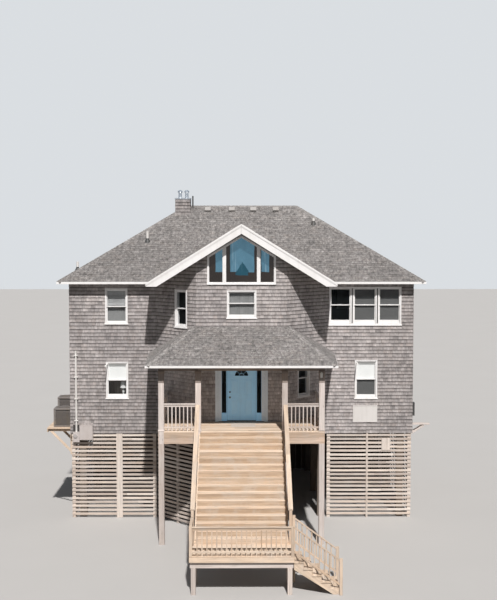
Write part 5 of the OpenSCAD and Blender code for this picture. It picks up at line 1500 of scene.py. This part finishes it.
ab, ad = Bag(), Bag()
for x0, y0, zt in ((-6.96, -3.65, 3.985), (-7.14, -1.75, 4.11)):
    x1, y1 = x0 + .64, y0 + .64
    bx(ab, x0, x1, y0, y1, 3.302, 3.36, "x", .008, col=ONE)
    bx(ab, x0, x1, y0, y1, zt - .06, zt, "x", .012, col=(1, .1, .5))
    for a in (x0 + .018, x1 - .018):
        for b in (y0 + .018, y1 - .018):
            bx(ab, a - .018, a + .018, b - .018, b + .018, 3.35, zt - .055, "z", .006, col=ONE)
    bx(ad, x0 + .05, x1 - .05, y0 + .05, y1 - .05, 3.36, zt - .06, "z", .01)
    for i in range(int((zt - 3.44) / .030)):
        z = 3.372 + i * .030
        for b, o in ((y0 + .012, -.5), (y1 - .012, .5)):
            board(ab, (x0 + .036, b, z + .01), (x1 - .036, b, z + .01), .022, .003, (0, o, 1), .001, col=ONE)
        for a, o in ((x0 + .012, -.5), (x1 - .012, .5)):
            board(ab, (a, y0 + .036, z + .01), (a, y1 - .036, z + .01), .022, .003, (o, 0, 1), .001, col=ONE)
    cx, cy = (x0 + x1) / 2, (y0 + y1) / 2
    lathe(ab, (cx, cy, zt - .002), [(.30, 0), (.30, .012), (.285, .018), (.27, .012)], 40, "z", col=ONE)
    lathe(ad, (cx, cy, zt - .004), [(.268, 0), (.268, .008)], 40, "z")
    for r in (.06, .10, .14, .18, .22, .25):
        n = 28
        for i in range(n):
            t0, t1 = 2 * math.pi * i / n, 2 * math.pi * (i + 1) / n
            z = zt + .010 + .024 * (1 - r / .27)
            board(ab, (cx + r * math.cos(t0), cy + r * math.sin(t0), z), (cx + r * math.cos(t1), cy + r * math.sin(t1), z), .005, .005, (0, 0, 1), .001, col=ONE)
    for i in range(8):
        t = math.pi * i / 4
        board(ab, (cx + .03 * math.cos(t), cy + .03 * math.sin(t), zt + .033), (cx + .275 * math.cos(t), cy + .275 * math.sin(t), zt + .010), .007, .006, (0, 0, 1), .001, col=ONE)
    lathe(ab, (cx, cy, zt + .025), [(.045, 0), (.045, .008), (.03, .014)], 20, "z", col=ONE)
ab.obj("cooler_cabinets", M["ac"], ["ac_units"], slot="ac_paint")
ad.obj("cooler_cores", M["dark"], slot="ac_paint")

eb = Bag().setT(W["front"])
bx(eb, -5.929, -5.443, -.140, .0, 2.911, 3.449, "z", .008, col=ONE)
bx(eb, -5.915, -5.457, -.150, -.138, 2.925, 3.436, "z", .006, col=(.9, .1, .5))
bx(eb, -5.930, -5.442, -.150, .0, 3.442, 3.450, "x", .003, col=ONE)
bx(eb, -5.48, -5.465, -.158, -.150, 3.15, 3.22, "z", .003, col=ONE)
for z in (3.00, 3.34):
    bx(eb, -5.927, -5.915, -.155, -.14, z, z + .05, "z", .003, col=ONE)
bx(eb, -6.170, -5.931, -.110, .0, 2.83, 3.20, "z", .010, col=ONE)
bx(eb, -6.160, -6.000, -.116, -.108, 2.84, 2.95, "z", .004, col=ONE)
lathe(eb, (-6.08, -.110, 3.06), [(.078, 0), (.078, .012), (.070, .016), (.070, .022)], 32, "y", col=ONE)
eb.obj("power_boxes", M["box"], slot="box_paint")
em = Bag().setT(W["front"])
lathe(em, (-6.08, -.112, 3.06), [(.066, .0), (.066, .03), (.060, .046), (.042, .056), (.015, .0598)], 32, "y", col=ONE)
em.obj("meter_dome", M["glass"], slot="window_glass", smooth=True)
ec = Bag().setT(W["front"])
lathe(ec, (-6.05, -.05, 3.19), [(.034, 0), (.034, 2.96), (.039, 2.965), (.039, 2.985), (.024, 2.99)], 24, "z", col=ONE)
for z in (3.6, 4.4, 5.2, 6.0):
    bx(ec, -6.12, -5.98, -.096, .0, z, z + .03, "x", .006, col=ONE)
ec.obj("power_conduit", M["pipe"], ["electric_box"], slot="box_paint", smooth=False)

sg = Bag()
bx(sg, 6.27, 7.03, -3.42, -3.282, 3.326, 3.363, "x", .004, n=3, warp=.001)
bx(sg, 6.27, 7.03, -3.278, -3.14, 3.326, 3.363, "x", .004, n=3, warp=.001)
for y in (-3.37, -3.19):
    bx(sg, 6.27, 6.31, y - .02, y + .02, 2.96, 3.325, "z", .004)
    board(sg, (6.30, y, 2.975), (6.82, y, 3.300), .038, .064, (0, 0, 1), .003)
sg.obj("side_ledge_boards", M["post"], ["side_ledge"], slot="deck_wood")
sx2 = Bag()
bx(sx2, 6.272, 6.358, -3.955, -3.785, 3.762, 4.245, "z", .006, col=ONE)
bx(sx2, 6.358, 6.372, -3.96, -3.78, 3.757, 4.250, "z", .005, col=(.7, .1, .5))
bx(sx2, 6.28, 6.375, -3.959, -3.781, 4.232, 4.249, "y", .004, col=ONE)
for z in (3.82, 4.19):
    lathe(sx2, (6.3695, -3.945, z), [(.007, 0), (.006, .003)], 10, "x", col=ONE)
lathe(sx2, (6.3685, -3.80, 4.0), [(.013, 0), (.012, .004), (.005, .006)], 14, "x", col=ONE)
sx2.obj("side_box_door", M["dark"], ["side_box"], slot="box_paint")

sb_ = Bag().setT(W["front"])
bx(sb_, 4.089, 4.978, -.022, .0, 3.551, 4.159, "z", .004, col=ONE)
for a in ((4.087, 4.980, 3.549, 3.575), (4.087, 4.980, 4.135, 4.161)):
    bx(sb_, a[0], a[1], -.030, -.018, a[2], a[3], "x", .004, col=ONE)
for a in ((4.087, 4.113), (4.954, 4.980)):
    bx(sb_, a[0], a[1], -.030, -.018, 3.575, 4.135, "z", .004, col=ONE)
for x in (4.14, 4.93):
    for z in (3.60, 4.11):
        lathe(sb_, (x, -.022, z), [(.007, 0), (.006, .003)], 10, "y", col=(.1, .3, .5))
sb_.obj("blank_board", M["sign"], ["sign_board"], slot="white_trim")

# ------------------------------------------------------------------ roof items
cc = Bag()
bx(cc, -2.635, -2.010, -.585, .105, 11.836, 11.865, "x", .006, col=ONE)
bx(cc, -2.628, -2.017, -.578, .098, 11.81, 11.838, "x", .004, col=ONE)
for x in (-2.44, -2.175):
    lathe(cc, (x, -.24, 11.864), [(.092, 0), (.088, .010), (.066, .026), (.066, .19), (.071, .195), (.071, .203), (.066, .207)], 32, "z", col=ONE)
    for i in range(4):
        t = math.pi / 4 + math.pi / 2 * i
        bx(cc, x + .066 * math.cos(t) - .006, x + .066 * math.cos(t) + .006, -.24 + .066 * math.sin(t) - .003, -.24 + .066 * math.sin(t) + .003, 12.03, 12.12, "z", .001, col=ONE)
    lathe(cc, (x, -.24, 12.095), [(.093, -.006), (.096, 0), (.096, .046), (.093, .051), (.066, .070), (.030, .090), (.008, .0945)], 32, "z", col=ONE)
cc.obj("chimney_cap_sheet", M["galv"], ["chimney_cap"], slot="galvanised", smooth=False)

rv = Bag()
th_ = math.atan(.64)
for x in (-1.342, -.386, .466, 1.361):
    O = Vector((x, -.30, RZ - .64 * .30))
    Sx, Sy, Sn = Vector((1, 0, 0)), Vector((0, math.cos(th_), math.sin(th_))), Vector((0, -math.sin(th_), math.cos(th_)))

    def rb(a0, a1, b0, b1, n0, n1, ch=.006):
        c0 = O + Sx * ((a0 + a1) / 2) + Sn * ((n0 + n1) / 2)
        board(rv, c0 + Sy * b0, c0 + Sy * b1, a1 - a0, n1 - n0, Sn, ch, col=ONE)
    rb(-.115, .115, -.120, .115, .004, .012, .002)
    rb(-.093, .093, -.093, .093, .01, .064)
    rb(-.120, .120, -.124, .114, .061, .094, .010)
    for k in range(4):
        rb(-.080 + k * .043, -.052 + k * .043, -.096, -.090, .016, .054, .001)
rv.obj("roof_vent_hoods", M["vent"], ["roof_vents"], slot="vent_metal")

vp, vf = Bag(), Bag()
for x, y, z1, r in ((-3.576, -2.19, 10.54, .05), (2.81, -1.14, 11.06, .05), (-6.05, -3.45, 9.42, .045)):
    zb = RZ - .64 * abs(y)
    if abs(x) > 6:
        zb = min(zb, 8.733 + .64 * (6.65 - abs(x)))
    lathe(vp, (x, y, zb - .1), [(r, 0), (r, z1 - zb + .10 - .004), (r * .86, z1 - zb + .10), (r * .86, z1 - zb + .02)], 28, "z", col=ONE)
    lathe(vf, (x, y, zb - .08), [(r + .075, 0), (r + .05, .08), (r + .012, .15), (r + .006, .19), (r + .001, .19)], 28, "z", col=ONE)
lathe(vf, (-1.942, -.12, 11.2), [(.028, 0), (.028, .75), (.024, .76)], 18, "z", col=ONE)
lathe(vf, (-1.942, -.12, 11.46), [(.07, 0), (.05, .04), (.03, .08)], 18, "z", col=ONE)
vp.obj("vent_stacks", M["pipe"], ["vent_pipes"], slot="white_trim")
vf.obj("stack_flashings", M["dark"], slot="white_trim")

# ------------------------------------------------------------------ small things
mt2 = Bag()
for i in range(32):
    x = -.34 + i * .025
    board(mt2, (x + .0125, -6.72, 3.857), (x + .0125, -6.04, 3.857), .0235, .012, (0, 0, 1), .004, n=6, warp=.0006, col=(.5, .2, .5))
for x in (-.365, .462):                # raised rubber ends
    bx(mt2, x, x + .022, -6.73, -6.03, 3.851, 3.868, "y", .005, col=(.0, .0, .5))
for y in (-6.735, -6.037):
    bx(mt2, -.365, .484, y, y + .016, 3.851, 3.864, "x", .004, col=(.0, .0, .5))
mt2.obj("porch_mat", M["mat"])
la = Bag()
lx_, ly_ = 2.66, -7.555
lathe(la, (lx_, ly_, 5.66), [(.018, 0), (.045, .012), (.048, .02), (.048, .028)], 18, "z", col=ONE)
lathe(la, (lx_, ly_, 5.688), [(.040, 0), (.044, .05), (.044, .09), (.036, .112)], 18, "z", col=(.9, .1, .5))
lathe(la, (lx_, ly_, 5.798), [(.056, 0), (.058, .008), (.030, .034), (.010, .045), (.008, .058)], 18, "z", col=ONE)
bx(la, lx_ - .022, lx_ + .022, -7.512, -7.50, 5.66, 5.86, "z", .004, col=ONE)
bx(la, lx_ - .008, lx_ + .008, -7.56, -7.505, 5.842, 5.854, "y", .003, col=ONE)
la.obj("porch_lantern", M["lamp"])
lm = Bag().setT(W["front"])
lathe(lm, (-4.36, .30, 4.51), [(.07, 0), (.07, .01), (.02, .03), (.03, .08), (.05, .14), (.03, .21), (.012, .25), (.012, .30)], 24, "z", col=ONE)
lathe(lm, (-4.36, .30, 4.78), [(.125, 0), (.085, .22), (.083, .22), (.122, .004)], 28, "z", col=ONE, cap=False)
bx(lm, -4.62, -4.10, .17, .50, 4.475, 4.508, "x", .006, col=ONE)
lm.obj("window_lamp", M["lamp"])
rs = Bag().setT(W["front"])
for i in range(9):
    x = -5.12 + i * .122
    bx(rs, x, x + .118, .560, .578, 4.36, 5.16, "z", .004, n=2, warp=.001, col=tone(.5, .3))
for z in (4.44, 5.06):
    bx(rs, -5.12, -4.03, .579, .60, z, z + .06, "x", .004, col=tone(.5, .2))
rs.obj("room_board_screen", M["room"])

# brown cabinet low behind the gable window
gi = Bag().setT(W["bay"])
for i in range(9):
    x = -1.11 + i * .247
    bx(gi, x, x + .243, .16, .19, 8.70, 9.00, "z", .004, col=(.3, .8, .5))
bx(gi, -1.12, 1.12, .145, .20, 8.99, 9.02, "x", .004, col=(.3, .8, .5))
gi.obj("gable_window_ledge", M["pile"])

# ------------------------------------------------------------------ gable and side glass
GM, gnt, gb_, gout = new_mat("gable_pane_painted_reflection")
gnt.nodes.remove(gb_)
ge_ = nd(gnt, "ShaderNodeNewGeometry")
sx_ = nd(gnt, "ShaderNodeSeparateXYZ", {0: ge_.outputs["Position"]})
ns_ = noise(gnt, scaled(gnt, ge_.outputs["Position"], (1, 1, 1)), 1.7, 4, 0.55)
zz = ma(gnt, "ADD", sx_.outputs[2], ma(gnt, "MULTIPLY", ma(gnt, "SUBTRACT", ns_, 0.5), 0.10))
# painted sky reflection in broad upright fields above the ledge, dark between them, a deeper teal patch of painted
# reflection low in the middle
ap_ = ma(gnt, "ADD", ma(gnt, "ABSOLUTE", ma(gnt, "SUBTRACT", sx_.outputs[0], 0.03)), ma(gnt, "MULTIPLY", ma(gnt, "SUBTRACT", ns_, 0.5), 0.06))
m_in = ma(gnt, "LESS_THAN", ap_, 0.42)
m_out = ma(gnt, "MULTIPLY", ma(gnt, "GREATER_THAN", ap_, 0.66), ma(gnt, "LESS_THAN", ap_, 0.94))
painted_sky_fields = ma(gnt, "MULTIPLY", ma(gnt, "MAXIMUM", m_in, m_out), ma(gnt, "GREATER_THAN", zz, 9.11))
apw = ma(gnt, "ADD", ap_, ma(gnt, "MULTIPLY", ma(gnt, "SUBTRACT", noise(gnt, scaled(gnt, ge_.outputs["Position"], (14, 1, 9)), 1.0, 3, 0.7), 0.5), 0.22))
painted_teal_patch = ma(gnt, "LESS_THAN", apw, ma(gnt, "MINIMUM", 0.21, ma(gnt, "MULTIPLY", ma(gnt, "SUBTRACT", 9.45, zz), 0.64)))
col_ = mixc(gnt, painted_sky_fields, (0.035, 0.026, 0.021, 1), (0.091, 0.205, 0.283, 1))
col_ = mixc(gnt, ma(gnt, "MULTIPLY", painted_teal_patch, ma(gnt, "GREATER_THAN", zz, 9.0)), col_, (0.014, 0.075, 0.110, 1))
stq = noise(gnt, scaled(gnt, ge_.outputs["Position"], (9, 1, 0.5)), 1.0, 3, 0.6)
col_ = mixc(gnt, ma(gnt, "MULTIPLY", ramp(gnt, stq, [(0.60, (0,) * 3), (0.72, (0.5,) * 3)]), painted_sky_fields), col_, (0.30, 0.42, 0.50, 1))
col_ = mixc(gnt, 1.0, col_, ramp(gnt, ns_, [(0.3, (0.85,) * 3), (0.7, (1.15,) * 3)]), "MULTIPLY")
# the pane emits its colour at 0.66: painted light, which also carries the painted sky reflection
pg = nd(gnt, "ShaderNodeBsdfPrincipled", {"Base Color": mixc(gnt, 1.0, col_, (0.35, 0.35, 0.35, 1), "MULTIPLY"), "Roughness": 0.06, "Emission Color": col_, "Emission Strength": 0.66})
tg = nd(gnt, "ShaderNodeBsdfTransparent", {"Color": (0.85, 0.9, 0.93, 1)})
opq = ma(gnt, "ADD", gray(gnt, ns_, 0.74, 0.84), glaze(gnt), clamp=True)
mg = nd(gnt, "ShaderNodeMixShader", {0: opq, 1: tg.outputs[0], 2: pg.outputs[0]})
gnt.links.new(mg.outputs[0], gout.inputs[0])
gg.obj("gable_window_panes", GM, slot="window_glass")
sl_g.obj("side_light_panes", M["glass"], slot="window_glass")
gl.obj("window_panes", M["glass"], ["window_glass"], slot="window_glass")

# ------------------------------------------------------------------ carried-over CAD nodes
# the door slab carries the same weak blue glow: painted light and painted sky reflection
M["door_cad"] = paint("door_blue_slab", (0.42, 0.64, 0.745), 0.34, (0.30, 0.40, 0.44), 0.22, use_uv=False, glow=(0.28, 0.64, 1.0, 0.13))
KEEP = {
    "wall": ["front_wall", "bay_facets", "bay_walls_beside_door", "bay_gable_wall", "side_walls", "back_wall", "chimney"],
    "deckroof": ["main_roof", "gable_roof", "porch_roof_front", "porch_roof_sides"],
    "floor": ["first_floor", "second_floor"],
    "door_cad": ["front_door"],
    "glass": ["door_fanlight"],
}
for k, names in KEEP.items():
    for n in names:
        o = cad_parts[n]
        o.data.materials.clear()
        o.data.materials.append(M[k])

# ------------------------------------------------------------------ stage, light, camera
sc = bpy.context.scene
fm, fnt, fb_, fo_ = new_mat("stage_floor")
tcf = nd(fnt, "ShaderNodeTexCoord")
nf = noise(fnt, tcf.outputs["Object"], 0.35, 3, 0.5)
lpf = nd(fnt, "ShaderNodeLightPath")
fnt.links.new(mixc(fnt, lpf.outputs["Is Camera Ray"], (0.24, 0.225, 0.21, 1),
                   mixc(fnt, nf, (0.46, 0.45, 0.44, 1), (0.485, 0.475, 0.465, 1))), fb_.inputs["Base Color"])
fb_.inputs["Roughness"].default_value = 0.9
me = bpy.data.meshes.new("floor")
F = 160
me.from_pydata([(-F, -F, 0), (F, -F, 0), (F, F, 0), (-F, F, 0)], [], [(0, 1, 2, 3)])
me.materials.append(fm)
flo = bpy.data.objects.new("stage_floor", me)
sc.collection.objects.link(flo)
flo.location.z = -0.002

wd = bpy.data.worlds.new("studio")
sc.world = wd
wd.use_nodes = True
wn = wd.node_tree
wn.nodes.clear()
bg = nd(wn, "ShaderNodeBackground", {"Color": (0.88, 0.93, 1.0, 1), "Strength": 0.175})
bc = nd(wn, "ShaderNodeBackground", {"Color": (0.74, 0.77, 0.80, 1), "Strength": 0.95})
lpw = nd(wn, "ShaderNodeLightPath")
bs = nd(wn, "ShaderNodeBackground", {"Color": (0.62, 0.74, 0.88, 1), "Strength": 0.55})
ws_ = nd(wn, "ShaderNodeMixShader", {0: lpw.outputs["Is Glossy Ray"], 1: bg.outputs[0], 2: bs.outputs[0]})
wm_ = nd(wn, "ShaderNodeMixShader", {0: lpw.outputs["Is Camera Ray"], 1: ws_.outputs[0], 2: bc.outputs[0]})
wo = nd(wn, "ShaderNodeOutputWorld")
wn.links.new(wm_.outputs[0], wo.inputs[0])

AZ, EL = math.radians(6.5), math.radians(48.7)
sun = bpy.data.lights.new("sun", "SUN")
sun.energy = 4.6
sun.angle = math.radians(1.6)
sun.color = (1.0, 0.97, 0.94)
so = bpy.data.objects.new("sun", sun)
sc.collection.objects.link(so)
d = Vector((-math.sin(AZ) * math.cos(EL), math.cos(AZ) * math.cos(EL), -math.sin(EL)))
so.rotation_euler = d.to_track_quat("-Z", "Y").to_euler()

fl_ = bpy.data.lights.new("front_fill", "SUN")      # soft low light from the sea side, reaches under the porch roof
fl_.energy = 0.12
fl_.angle = math.radians(70)
fl_.color = (1.0, 0.97, 0.93)
fo = bpy.data.objects.new("front_fill", fl_)
sc.collection.objects.link(fo)
fo.rotation_euler = Vector((0, math.cos(math.radians(8)), -math.sin(math.radians(8)))).to_track_quat("-Z", "Y").to_euler()

cam = bpy.data.cameras.new("camera")
cam.sensor_width = 36
cam.lens = 63.0
cam.clip_end = 500
co = bpy.data.objects.new("camera", cam)
sc.collection.objects.link(co)
co.location = (0, -42.25, 10.40)
co.rotation_euler = (math.radians(90 - 3.54), 0, math.radians(-0.382))
sc.camera = co
sc.view_settings.view_transform = "Standard"
sc.view_settings.look = "None"
sc.view_settings.exposure = 0.0
